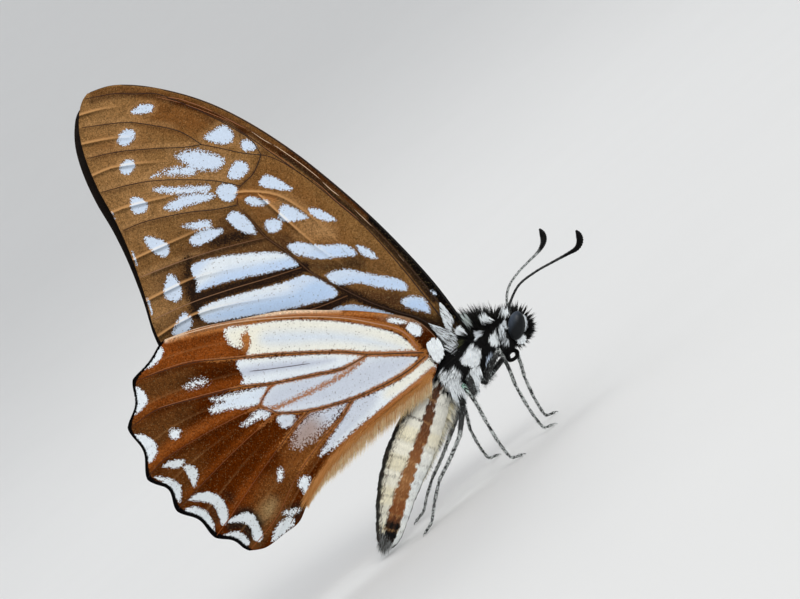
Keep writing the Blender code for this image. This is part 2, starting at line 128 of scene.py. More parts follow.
class Finish:
    def __init__(self, name, roughness, settings=None):
        self.material = bpy.data.materials.new(name)
        self.material.use_nodes = True
        self.tree = self.material.node_tree
        self.shader = self.tree.nodes["Principled BSDF"]
        self.shader.inputs["Roughness"].default_value = roughness
        for socket, value in (settings or {}).items():
            self.shader.inputs[socket].default_value = value

    def add(self, kind, settings=None, sockets=None, out=0):
        node = self.tree.nodes.new(kind)
        for key, value in (settings or {}).items():
            setattr(node, key, value)
        for key, value in (sockets or {}).items():
            if isinstance(value, Wire):
                self.tree.links.new(value.socket, node.inputs[key])
            elif isinstance(value, tuple) and len(value) == 3 and node.inputs[key].type == "RGBA":
                node.inputs[key].default_value = (*value, 1.0)
            else:
                node.inputs[key].default_value = value
        return Wire(self, node.outputs[out])

    def attribute(self, name, colour=False):
        return self.add("ShaderNodeAttribute", {"attribute_name": name}, out=0 if colour else 2)

    def mix(self, share, first, second, blend="MIX"):
        settings = {"data_type": "RGBA", "blend_type": blend}
        return self.add("ShaderNodeMix", settings, {0: share, 6: first, 7: second}, out=2)

    def channel(self, colour, which):
        return self.add("ShaderNodeSeparateColor", {}, {"Color": colour}, out=which)

    def shade(self, colour, amount):
        # The colour, made lighter or darker by a factor
        grey = self.add("ShaderNodeCombineColor", {}, {0: amount, 1: amount, 2: amount})
        return self.mix(1.0, colour, grey, "MULTIPLY")

    def place(self):
        return self.add("ShaderNodeTexCoord", out=3)

    # The size of a pattern is the width of one patch of it, in millimetres
    def noise(self, where, size, detail=2.0):
        sockets = {"Vector": where, "Scale": 1 / (size * mm), "Detail": detail, "Roughness": 0.6}
        return self.add("ShaderNodeTexNoise", {}, sockets)

    def cells(self, where, size, out=0):
        return self.add("ShaderNodeTexVoronoi", {}, {"Vector": where, "Scale": 1 / (size * mm)}, out=out)

    def paint(self, colour):
        self.tree.links.new(colour.socket, self.shader.inputs["Base Color"])

    def roughen(self, amount):
        self.tree.links.new(amount.socket, self.shader.inputs["Roughness"])

    def raiseUp(self, height, depth, strength=1.0):
        # depth is the rise of the relief, in millimetres
        sockets = {"Height": height, "Distance": depth * mm, "Strength": strength}
        bump = self.add("ShaderNodeBump", {}, sockets)
        self.tree.links.new(bump.socket, self.shader.inputs["Normal"])


# Curves and distances in the side view. Daylight in the photo falls from ahead and above.
lit = np.array([0.62, 0.78])


def smoothLine(points, perSpan=4, closed=False):
    # A Catmull-Rom curve through rows of numbers
    points = np.asarray(points, float)
    if closed:
        ends = np.vstack([points[-1:], points, points[:2]])
    else:
        ends = np.vstack([points[:1], points, points[-1:]])
    found = []
    for i in range(1, len(ends) - 2):
        a, b, c, d = ends[i - 1:i + 3]
        for k in range(perSpan):
            t = k / perSpan
            found.append(0.5 * (2 * b + (c - a) * t + (2 * a - 5 * b + 4 * c - d) * t * t
                                + (3 * b - a - 3 * c + d) * t ** 3))
    if not closed:
        found.append(points[-1])
    return np.array(found)


def alongLine(line, shares):
    # Points at these shares of the line's length
    steps = np.linalg.norm(np.diff(line, axis=0), axis=1)
    run = np.concatenate([[0.0], np.cumsum(steps)])
    want = np.asarray(shares) * run[-1]
    return np.stack([np.interp(want, run, line[:, k]) for k in range(line.shape[1])], axis=1)


def towards(points, a, b):
    # The nearest place to each point between a and b: its share of the way, and the steps to the point
    along = b - a
    share = np.clip((points - a) @ along / max(along @ along, 1e-12), 0.0, 1.0)
    return share, points - a - share[:, None] * along


def lineDistance(points, line):
    nearest = np.full(len(points), 1e9)
    for a, b in zip(line[:-1], line[1:]):
        nearest = np.minimum(nearest, np.linalg.norm(towards(points, a, b)[1], axis=1))
    return nearest


def lineSide(points, line):
    # Distance to a line, positive on the side that the light falls on, and the share of the way along it
    nearest = np.full(len(points), 1e9)
    sign = np.ones(len(points))
    share = np.zeros(len(points))
    for i, (a, b) in enumerate(zip(line[:-1], line[1:])):
        t, off = towards(points, a, b)
        gap = np.linalg.norm(off, axis=1)
        near = gap < nearest
        nearest = np.where(near, gap, nearest)
        across = np.array([a[1] - b[1], b[0] - a[0]])
        across = across if across @ lit > 0 else -across
        sign = np.where(near, np.where((points - a) @ across > 0, 1.0, -1.0), sign)
        share = np.where(near, (i + t) / (len(line) - 1), share)
    return nearest * sign, share


def insideDistance(points, outline):
    # Distance to a closed outline, positive inside it
    ring = np.vstack([outline, outline[:1]])
    inside = np.zeros(len(points), bool)
    for a, b in zip(ring[:-1], ring[1:]):
        crosses = (a[1] > points[:, 1]) != (b[1] > points[:, 1])
        slope = (b[0] - a[0]) / (b[1] - a[1] if b[1] != a[1] else 1e-12)
        inside ^= crosses & (points[:, 0] < slope * (points[:, 1] - a[1]) + a[0])
    return np.where(inside, 1.0, -1.0) * lineDistance(points, ring)


# Colours of the scales, hair and horn
# Crest is also the colour of the painted highlight on the wing folds
tint = {
    "ochre": (126, 90, 50), "fawn": (176, 134, 88), "sand": (196, 172, 122), "crest": (196, 146, 94),
    "brown": (104, 72, 40), "umber": (74, 48, 28), "soot": (36, 25, 18), "black": (8, 7, 7),
    "russet": (112, 68, 30), "ember": (134, 68, 22), "amber": (182, 116, 60), "chestnut": (76, 30, 0),
    "walnut": (94, 58, 26), "bark": (52, 20, 3), "tan": (230, 198, 166), "copper": (160, 104, 68),
    "hazel": (150, 112, 82), "rust": (132, 80, 36), "ice": (204, 218, 236), "sky": (182, 206, 236),
    "milk": (226, 233, 238), "cream": (238, 234, 216), "mist": (190, 197, 212), "gold": (196, 144, 82),
    "fleece": (246, 252, 255), "straw": (238, 224, 178), "soil": (58, 40, 30), "rustHair": (134, 78, 40),
    "silver": (182, 192, 190), "glint": (74, 76, 50), "ash": (176, 180, 178), "jade": (150, 196, 178),
    "eyeDark": (13, 16, 19), "eyeSkyReflection": (80, 90, 104),
}
tint = {name: linear(*colour) for name, colour in tint.items()}

# The right wings seen from the side. Outlines run from the root; lines and patches are (h, v).
foreChart = {
    "node": "forewing",
    "slot": "forewing",
    "ahead": [
        (0.75, -1.2), (0.9, 0.5), (1, 4), (0.8, 8), (0.25, 13), (-0.6, 18), (-2, 24), (-3.9, 29.5),
        (-6.2, 34), (-9.3, 38), (-12.2, 40.5), (-14.9, 41.5),
    ],
    "margin": [
        (-14.9, 41.5), (-16.3, 40.7), (-17.9, 38.8), (-19.1, 36.2), (-20, 33), (-20.6, 29.5), (-21.5, 26),
        (-22.8, 22.2), (-24.2, 18.9), (-24.8, 16.6),
    ],
    "behind": [
        (-1.4, -1.6), (-2.4, -0.6), (-4.2, 1.4), (-8, 4.4), (-14, 8.4), (-20, 12.4), (-24.3, 15.6),
        (-24.8, 16.6),
    ],
    "grid": (310, 154),
    # Distance from the middle plane at the root and on the blade, and the height over which it changes
    "out": {"root": 1.45, "blade": 1.2, "over": 8.0},
    "thickness": 0.13,
    "shrink": 0.1,
    # How far the left wing is swept back, in degrees
    "sweep": 1.6,
    # Radius of the leading edge at the root and at the tip
    "frontRod": (0.15, 0.07),
    "frontColours": ("black", "soot"),
    "veins": {
        "subcosta": [(-0.1, -1), (0.02, 6), (-0.36, 12.3), (-0.95, 16.4), (-1.8, 20.6), (-2.7, 24),
            (-4.25, 28.6), (-6, 32.3)],
        "radius": [(-0.75, -0.4), (-0.7, 3.5), (-0.7, 7.7), (-1, 13), (-1.6, 16.2), (-2.35, 19.8),
            (-3.3, 23), (-4.2, 24.9), (-4.85, 25.7)],
        "radius1": [(-2.4, 20), (-2.8, 21.5), (-3.33, 23.3), (-3.9, 25.2), (-4.4, 27), (-5.1, 29.3),
            (-5.9, 31.2)],
        "radius2": [(-4.85, 25.7), (-4.7, 27.5), (-5.39, 29.6), (-6.15, 31.4), (-7.4, 33.9), (-8.95, 36.6),
            (-9.82, 37.6), (-11.1, 38.5), (-12.55, 39.7), (-14, 40.5), (-15.4, 41.2)],
        "stalk": [(-4.85, 25.7), (-6.3, 27.1), (-7.7, 28.8), (-9, 30.3)],
        "radius4": [(-9, 30.3), (-9.9, 32.7), (-11.7, 34.9), (-13.8, 36.9), (-17.5, 39.1)],
        "radius5": [(-9, 30.3), (-10.6, 31.2), (-13, 32.9), (-16.1, 34.9), (-19, 36.3)],
        "cellEnd": [(-4.85, 25.7), (-6.7, 24.7), (-8.5, 24.5), (-9.2, 24), (-10, 23.2)],
        "media1": [(-8.5, 24.5), (-10.1, 26.4), (-12.3, 28.3), (-15, 30.3), (-17.4, 31.6), (-20, 32.7)],
        "media2": [(-10, 23.2), (-12, 24.2), (-14.6, 25.8), (-18.3, 27.6), (-20.8, 28.3)],
        "cellUnder": [
            (-1.6, -0.4), (-2.5, 2.3), (-4, 4.5), (-5.6, 7.1), (-7, 10.1), (-8.3, 12.9), (-8.9, 15.9),
            (-9.7, 18.7), (-9.8, 20), (-10, 23.2),
        ],
        "media3": [(-9.8, 18.8), (-14, 20.7), (-18, 22.2), (-22.3, 23.5)],
        "cubitus1": [(-8.8, 14.1), (-12, 15.3), (-16, 16.9), (-20, 18.3), (-24, 19.3)],
        "cubitus2": [(-6.9, 8.9), (-10.7, 10.1), (-13.5, 11.7), (-19, 14.6), (-24.6, 16.9)],
        "anal": [(-1.9, -0.7), (-6, 3.3), (-14, 9.3), (-24.3, 15.9)],
    },
    "veinWidth": (0.19, 0.1),
    # Colour of each vein at its start and end; the others take the first entry
    "veinColours": {
        "": ("soot", "bark"), "subcosta": ("soot", "walnut"), "media3": ("walnut", "hazel"),
        "cubitus1": ("walnut", "hazel"), "cubitus2": ("walnut", "hazel"), "cellUnder": ("soot", "walnut"),
        "cellEnd": ("soot", "bark"), "stalk": ("soot", "bark"),
    },
    # Fine raised lines beside the veins: colour, width, line. The light ones lie on the side that the
    # light falls on and are coloured as a painted highlight along the veins
    "pens": [
        ("tan", 0.075, [(0.02, 6), (-0.2, 10.3), (-0.36, 12.3), (-0.61, 14), (-0.85, 15.8), (-1.12, 17.3),
            (-1.44, 18.5), (-1.7, 20.3), (-2.06, 21.9), (-2.5, 23.5), (-3.1, 25.4), (-3.7, 26.8),
            (-4.25, 28.6)]),
        ("copper", 0.075, [(-4.25, 28.6), (-4.7, 29.4), (-5.35, 30.9), (-5.96, 32.2), (-6.67, 33.5),
            (-7.3, 34.5), (-8, 35.5), (-9.2, 36.7)]),
        ("copper", 0.055, [(-1.1, 14.2), (-1.34, 15.6), (-1.72, 17.3), (-1.96, 19), (-2.3, 20.6)]),
        ("copper", 0.055, [(-2.9, 22.4), (-3.5, 24.4), (-4.2, 26.4)]),
        ("copper", 0.055, [(-5.2, 30.3), (-6.4, 32.4), (-7.9, 34.8), (-9.6, 37)]),
    ],
    "folds": [
        [(-16.9, 40.2), (-14.7, 39.3), (-12.7, 38.1)],
        [(-18.7, 37.8), (-15.7, 36.3), (-13.4, 34.7)],
        [(-20, 34.6), (-17.7, 34), (-15.3, 32.7), (-13.5, 31.5), (-11.5, 30.2)],
        [(-20.6, 30.4), (-18.6, 29.8), (-15.3, 28.3), (-13.5, 27.6), (-10.5, 25.2)],
        [(-21.8, 25.3), (-19.6, 24.8), (-16.5, 24), (-14, 23.3), (-11.5, 21.8)],
        [(-23.5, 21.2), (-20, 20.5), (-17, 19.6), (-12, 17.2)],
        [(-24.5, 17.6), (-20.5, 17.1), (-16, 15.2), (-9, 11.2)],
        [(-9.2, 24.1), (-8, 23.3), (-6.1, 21.3), (-4.9, 18), (-4.3, 14), (-3.4, 8.5)],
        [(-7.6, 22.5), (-7, 18.6), (-6.2, 14.6), (-5, 10.4)],
    ],
    "foldShade": 1.0,
    # Pale marks: feather, patch
    "pale": [
        (0.16, [(-12.6, 37.3), (-11.3, 37.3), (-10.4, 36.5), (-10.9, 36.1), (-12, 36.6)]),
        (0.16, [(-15.6, 35.6), (-15, 36.2), (-14, 36.2), (-13.5, 35.5), (-14.1, 34.9), (-15.1, 34.9)]),
        (0.16, [(-17.2, 33.2), (-16.6, 33.8), (-15.8, 33.7), (-15.4, 33.1), (-16, 32.5), (-16.9, 32.5)]),
        (0.16, [(-18.7, 29.6), (-18, 30.4), (-17.3, 29.9), (-17, 29), (-17.7, 28.4), (-18.6, 28.8)]),
        (0.18, [(-19.6, 26.3), (-19, 26.2), (-18.1, 24.9), (-18.2, 23.9), (-19, 23.5), (-19.7, 24.6)]),
        (0.18, [(-19.5, 21.5), (-20.1, 21.9), (-21.6, 20.5), (-20.9, 19.2), (-20, 19.6), (-19.6, 20.4)]),
        (0.22, [(-23.3, 16.9), (-22.4, 17.5), (-21.2, 18), (-20.8, 17.3), (-21.1, 16.5), (-22.5, 16)]),
        (0.18, [(-8.4, 30.7), (-6.9, 30.7), (-5.9, 30.4), (-5.7, 29.2), (-6.4, 28.6), (-7.2, 28.9),
            (-8, 29.8)]),
        (0.18, [(-5.8, 27.9), (-5.2, 28), (-4.7, 27.2), (-4.8, 26.5), (-5.5, 26.7), (-6, 27.2)]),
        (0.34, [(-11.9, 31), (-10.9, 30.9), (-9.6, 30.1), (-8.3, 28.4), (-8.2, 27.5), (-9, 27.2),
            (-9.9, 27.6), (-11, 28.5), (-11.4, 29.3)]),
        (0.34, [(-15.2, 30.8), (-14.1, 30.3), (-12.7, 29.1), (-11.3, 28.3), (-10.6, 29.2), (-11.7, 29.6),
            (-13, 30.4)]),
        (0.18, [(-8.9, 26.2), (-7.4, 26.8), (-6.6, 26.1), (-6.8, 25.3), (-7.7, 25.1), (-8.6, 25.4)]),
        (0.26, [(-15.8, 29.7), (-14.7, 29.3), (-13.5, 28.3), (-11.1, 26.7), (-11.4, 26.1), (-12.7, 26.8),
            (-14.7, 28.3)]),
        (0.22, [(-16.1, 27.6), (-14.3, 27.5), (-13, 27), (-11.1, 25.5), (-11.7, 25.3), (-14.3, 26.3),
            (-15.4, 26.7)]),
        (0.16, [(-10.9, 25.5), (-9.9, 25.9), (-8.9, 24.9), (-9.2, 24.1), (-10, 23.8), (-10.8, 24.3)]),
        (0.26, [(-15.8, 25), (-14.9, 24.7), (-14.1, 24.4), (-13.2, 23.7), (-13.5, 23.1), (-14.4, 23.4),
            (-15.1, 24)]),
        (0.18, [(-16.1, 23.3), (-15.3, 23.6), (-14, 23.2), (-12.6, 22.2), (-13.3, 21.9), (-14.7, 22.1),
            (-15.9, 22.5)]),
        (0.16, [(-11.7, 22.8), (-10.9, 23), (-10.3, 22.5), (-10, 21.3), (-10.1, 20), (-10.4, 19.7),
            (-11.1, 20.4), (-11.6, 21.4)]),
        (0.16, [(-17.5, 21.2), (-15.3, 20.5), (-12.7, 19), (-10.4, 17.4), (-9.2, 16.2), (-8.9, 14.5),
            (-10, 14.9), (-12.7, 16.2), (-15.3, 17.5), (-17.7, 18.4), (-18.8, 18.8), (-18.2, 19.5)]),
        (0.14, [(-19.8, 17.2), (-17.7, 16.8), (-14.7, 15.6), (-11.3, 14.1), (-8.9, 13.2), (-7.8, 11.3),
            (-7.5, 9.7), (-8.7, 9.8), (-11.3, 11), (-14, 12.4), (-17, 14), (-19.8, 15.6)]),
        (0.14, [(-14.5, 11), (-11, 9.4), (-8.4, 8.6), (-7.2, 8), (-5.9, 6.6), (-4.3, 4.2), (-6.5, 5.6),
            (-9.5, 7.4), (-13, 9.6)]),
        (0.16, [(-6.9, 23.5), (-6.2, 23.9), (-5.5, 23.6), (-4.7, 21.9), (-4.5, 20.9), (-5.5, 21.6),
            (-6.5, 22.7)]),
        (0.16, [(-9.1, 23), (-8.5, 23.2), (-7.8, 22.4), (-7.2, 21.4), (-7.9, 21.5), (-8.8, 22.1)]),
        (0.16, [(-9.2, 19.6), (-8.7, 20.1), (-7.9, 19.8), (-7.5, 19.1), (-8, 18.5), (-9.1, 18.8)]),
        (0.16, [(-7.4, 19.7), (-6.4, 20.4), (-5.7, 19.7), (-5.2, 18.5), (-5.1, 17.6), (-6.7, 18.4),
            (-7.3, 19)]),
        (0.16, [(-4.5, 18.4), (-3.8, 17.9), (-3.2, 16.7), (-3, 15.6), (-4, 16.4), (-4.6, 17.5)]),
        (0.16, [(-8.6, 16.7), (-7.7, 16.6), (-6.4, 15.3), (-5.3, 14.3), (-4, 13.4), (-3.4, 12.2),
            (-3.7, 11.6), (-5.2, 12.6), (-6.7, 13.5), (-7.7, 14.6), (-8.5, 15.6)]),
        (0.16, [(-3, 12.4), (-2.4, 11.8), (-2, 10.7), (-2.1, 10), (-2.7, 10.5), (-3.1, 11.4)]),
        (0.18, [(-7.4, 11.9), (-6, 11.6), (-4.9, 10.7), (-3.1, 8.6), (-1.8, 7.2), (-1.4, 6.2), (-1.8, 5.5),
            (-3.5, 7.1), (-5.2, 9.2), (-6.9, 10.3)]),
        (0.2, [(-2.9, 5.1), (-1.9, 4.9), (-0.95, 4), (-1, 2.8), (-1.4, 2.2), (-2.1, 3.1), (-2.9, 4.1)]),
        (0.16, [(0.05, 3.9), (0.35, 3.85), (0.4, 3.35), (0.1, 3.3)]),
        (0.1, [(-20.45, 30.5), (-20.35, 30.4), (-20.6, 29.7), (-20.7, 29.8)]),
        (0.1, [(-21.4, 26), (-21.25, 25.9), (-21.7, 24.7), (-21.85, 24.8)]),
        (0.1, [(-23.2, 21.3), (-23, 21.2), (-23.6, 19.8), (-23.75, 19.9)]),
    ],
    "paleTint": "ice",
    # Patches of another tone inside the pale marks: colour, strength, feather, patch
    "paleTones": [
        ("milk", 0.9, 0.5, [(-17.7, 19.9), (-15.3, 20.4), (-12.7, 19), (-9.2, 16.3), (-9.2, 15.7),
            (-12.7, 17.7), (-15.3, 18.9), (-18.6, 19.2)]),
        ("sky", 0.7, 0.5, [(-18.6, 19), (-15.3, 18.3), (-12.7, 17.1), (-9.1, 15.5), (-9, 14.4), (-12.7, 16),
            (-15.3, 17.4), (-18.8, 18.4)]),
        ("milk", 0.9, 0.5, [(-19.8, 17.2), (-17.7, 16.8), (-14.7, 15.6), (-11.3, 14.1), (-11.3, 13.2),
            (-14.7, 14.8), (-17.7, 16), (-19.8, 16.6)]),
        ("sky", 0.9, 0.5, [(-19.8, 16.3), (-17.7, 15.5), (-14.7, 14.2), (-11.3, 12.6), (-8.4, 12),
            (-7.6, 9.6), (-11.3, 11), (-17, 14)]),
        ("sky", 0.8, 0.6, [(-14.5, 11), (-11, 9.4), (-7.2, 8), (-4.3, 4.2), (-9.5, 7.4)]),
        ("sky", 0.6, 0.6, [(-7.7, 14.6), (-5.2, 12.6), (-3.4, 11.4), (-3.4, 12.4), (-6, 14.2)]),
        ("sky", 0.6, 0.6, [(-6.9, 10.3), (-3.5, 7.1), (-1.8, 5.5), (-1.5, 6.8), (-5, 9.9)]),
        ("sky", 0.8, 0.4, [(-2.9, 4.1), (-1.4, 2.2), (-0.9, 3.4), (-2, 4.6)]),
    ],
    "ground": "ochre",
    # Patches of another tone on the ground, in the same way
    "tones": [
        ("fawn", 0.3, 4.0, [(-12, 41), (-16.5, 40.5), (-20.5, 33), (-22, 26), (-17, 27), (-13, 34)]),
        ("brown", 0.5, 3.0, [(-9, 24), (-22, 27), (-24.5, 19), (-22, 14), (-10, 6), (-3, 0), (-4, 8)]),
        ("russet", 0.75, 1.6, [(-6, 31.5), (-8, 35.5), (-10.5, 37.6), (-12.5, 36), (-10.5, 33),
            (-8.5, 31)]),
        ("russet", 0.5, 1.4, [(-13, 33.5), (-14.5, 35.6), (-17.5, 37), (-17.5, 35.4), (-15, 34)]),
        ("russet", 0.4, 1.2, [(-4.5, 25), (-8.5, 24.2), (-9.4, 20.5), (-6.5, 15), (-3.4, 13), (-2.9, 19)]),
        ("fawn", 0.4, 0.8, [(-8, 22.8), (-5.2, 21), (-3.9, 15), (-4.6, 14.6), (-6.2, 18), (-7.8, 21)]),
        ("umber", 0.7, 0.7, [(-9.4, 19), (-9.3, 16.6), (-8, 16), (-7.4, 17.2), (-8.2, 18.2)]),
        ("fawn", 0.45, 0.9, [(-7, 17.4), (-6.8, 16.2), (-4.6, 14.6), (-3.6, 15.2), (-4.8, 17.2)]),
        ("brown", 0.7, 1.0, [(-4.4, 12), (-3, 8.2), (-1.4, 6.6), (-1.6, 10), (-2.6, 12.6)]),
        ("fawn", 0.3, 1.6, [(-19.5, 22.5), (-24, 21.6), (-24.4, 18.4), (-21.4, 18.4)]),
        ("soot", 0.7, 0.8, [(-8.7, 14), (-7.2, 12.2), (-4, 10), (-3.4, 11.5), (-6, 12.6), (-7.7, 14)]),
        ("umber", 0.95, 0.8, [(-7, 10), (-4, 7.2), (-2.2, 5.4), (-2, 2), (-3.2, 3.6), (-5.4, 6.8)]),
        ("umber", 0.8, 1.0, [(-11.4, 23.1), (-10.2, 22.4), (-9.8, 19), (-15, 21.2), (-17.6, 22.3),
            (-16.6, 23), (-14, 22.8)]),
        ("umber", 0.7, 1.6, [(-10, 18.4), (-9, 14.5), (-14, 16), (-22.5, 18.2), (-24.5, 17.5), (-22.5, 15.5),
            (-12, 10), (-7, 9), (-9, 12), (-19.5, 18), (-21.5, 21.5), (-18.5, 22)]),
        ("black", 0.9, 1.2, [(1.4, -2), (1.6, 8), (0.6, 8.6), (-0.1, 6), (-0.5, 2), (-2.6, 2.6),
            (-3.2, -1.5)]),
    ],
    # Bands that follow a line: colour, strength, half width, feather, line
    "ribbons": [
        ("walnut", 0.75, 0.42, 0.2, [(0.75, 8), (0.4, 11), (0, 14.5), (-0.75, 18.5), (-1.75, 22),
            (-2.6, 24.7), (-3.7, 27.6), (-4.9, 30.4), (-6.3, 33), (-7.8, 35.2), (-9.6, 37.3), (-12, 39.7),
            (-14.4, 41.1)]),
        ("soot", 0.9, 0.26, 0.12, [(-0.25, 3), (-0.3, 8), (-0.56, 12), (-0.81, 13.8), (-1.25, 16),
            (-1.72, 18.3), (-1.98, 20), (-2.5, 22.2), (-3.19, 24.5)]),
        ("bark", 0.85, 0.3, 0.2, [(-3.19, 24.5), (-4.1, 27.2), (-4.6, 28.3), (-5.46, 30.56), (-6.28, 32.13),
            (-7.41, 33.94), (-8.6, 35.6)]),
        ("umber", 0.6, 0.3, 0.25, [(-8.6, 35.6), (-10.2, 37.6), (-12.2, 39.2), (-15, 40.6)]),
        ("umber", 0.5, 0.3, 0.2, [(-4.4, 25.6), (-5, 27.4), (-5.9, 29.6), (-7, 32)]),
        # Painted highlight along the fold in the cell
        ("amber", 0.55, 0.35, 0.4, [(-9.4, 23.9), (-8.4, 23.4), (-6.6, 21.4)]),
        ("bark", 0.8, 0.4, 0.3, [(0.35, 10), (0, 13), (-0.6, 16.5), (-1.4, 20), (-2.5, 24)]),
        ("black", 0.97, 0.5, 0.25, [(0.5, 0), (0.55, 3), (0.5, 6), (0.42, 9), (0.25, 11.5), (0, 13.5)]),
    ],
    # Bands beside veins: colour, strength, from and to above the vein, feather, and the shares of each
    # vein between which the band runs. Above is the side that the light falls on: the fawn bands there are
    # a painted highlight and the dark bands below a vein painted shade of the pleats, over the wing's own
    # browns. Bands on both sides of a vein are its own dark flanks.
    "strips": [
        ("fawn", 0.35, 0.05, 0.5, 0.3, {"radius4": (0.3, 1), "radius5": (0.3, 1),
            "media1": (0.1, 1), "media2": (0.1, 1)}),
        ("fawn", 0.4, 0.05, 0.5, 0.3, {"media3": (0.5, 1)}),
        ("fawn", 0.3, 0.05, 0.4, 0.3, {"cubitus1": (0.7, 1), "radius2": (0.6, 1)}),
        ("umber", 0.5, -0.4, -0.02, 0.2, {"media1": (0, 1), "media2": (0, 1)}),
        ("umber", 0.5, -0.35, -0.02, 0.2, {"radius5": (0, 1)}),
        ("umber", 0.4, -0.35, -0.02, 0.2, {"radius4": (0, 1)}),
        ("soot", 0.75, -0.4, -0.02, 0.2, {"media3": (0, 0.9)}),
        ("soot", 0.9, -0.16, 0.16, 0.12, {"cellUnder": (0, 0.96)}),
        ("umber", 0.6, -0.16, 0.16, 0.12, {"cellEnd": (0, 1)}),
        ("umber", 0.4, -0.3, -0.02, 0.2, {"radius2": (0.4, 1)}),
    ],
    # Dark bands across the pale marks: half width, feather, line
    "inkBands": [
        (0.62, 0.24, [(-8.7, 14), (-12, 15.2), (-16, 16.9), (-18.6, 17.9)]),
        (0.7, 0.4, [(-18.6, 19.6), (-19.3, 18.3), (-19.9, 16.9)]),
        (0.3, 0.4, [(-17.3, 22), (-18.6, 20.4)]),
        (0.55, 0.24, [(-6.6, 8.8), (-10.7, 9.9), (-14.5, 12.2), (-19.8, 14.9)]),
        (0.4, 0.5, [(-11.2, 20.3), (-12.6, 20.9), (-14.2, 21.6)]),
        (0.4, 0.3, [(-1.6, 0), (-2.6, 2.2), (-4, 4.4), (-5.6, 7), (-7, 10)]),
    ],
    # Width of the black edge near the body and far above it
    "edgeInk": (-0.05, -0.05),
    # Above this height the pale marks have a fawn ring
    "halo": 24.0,
}

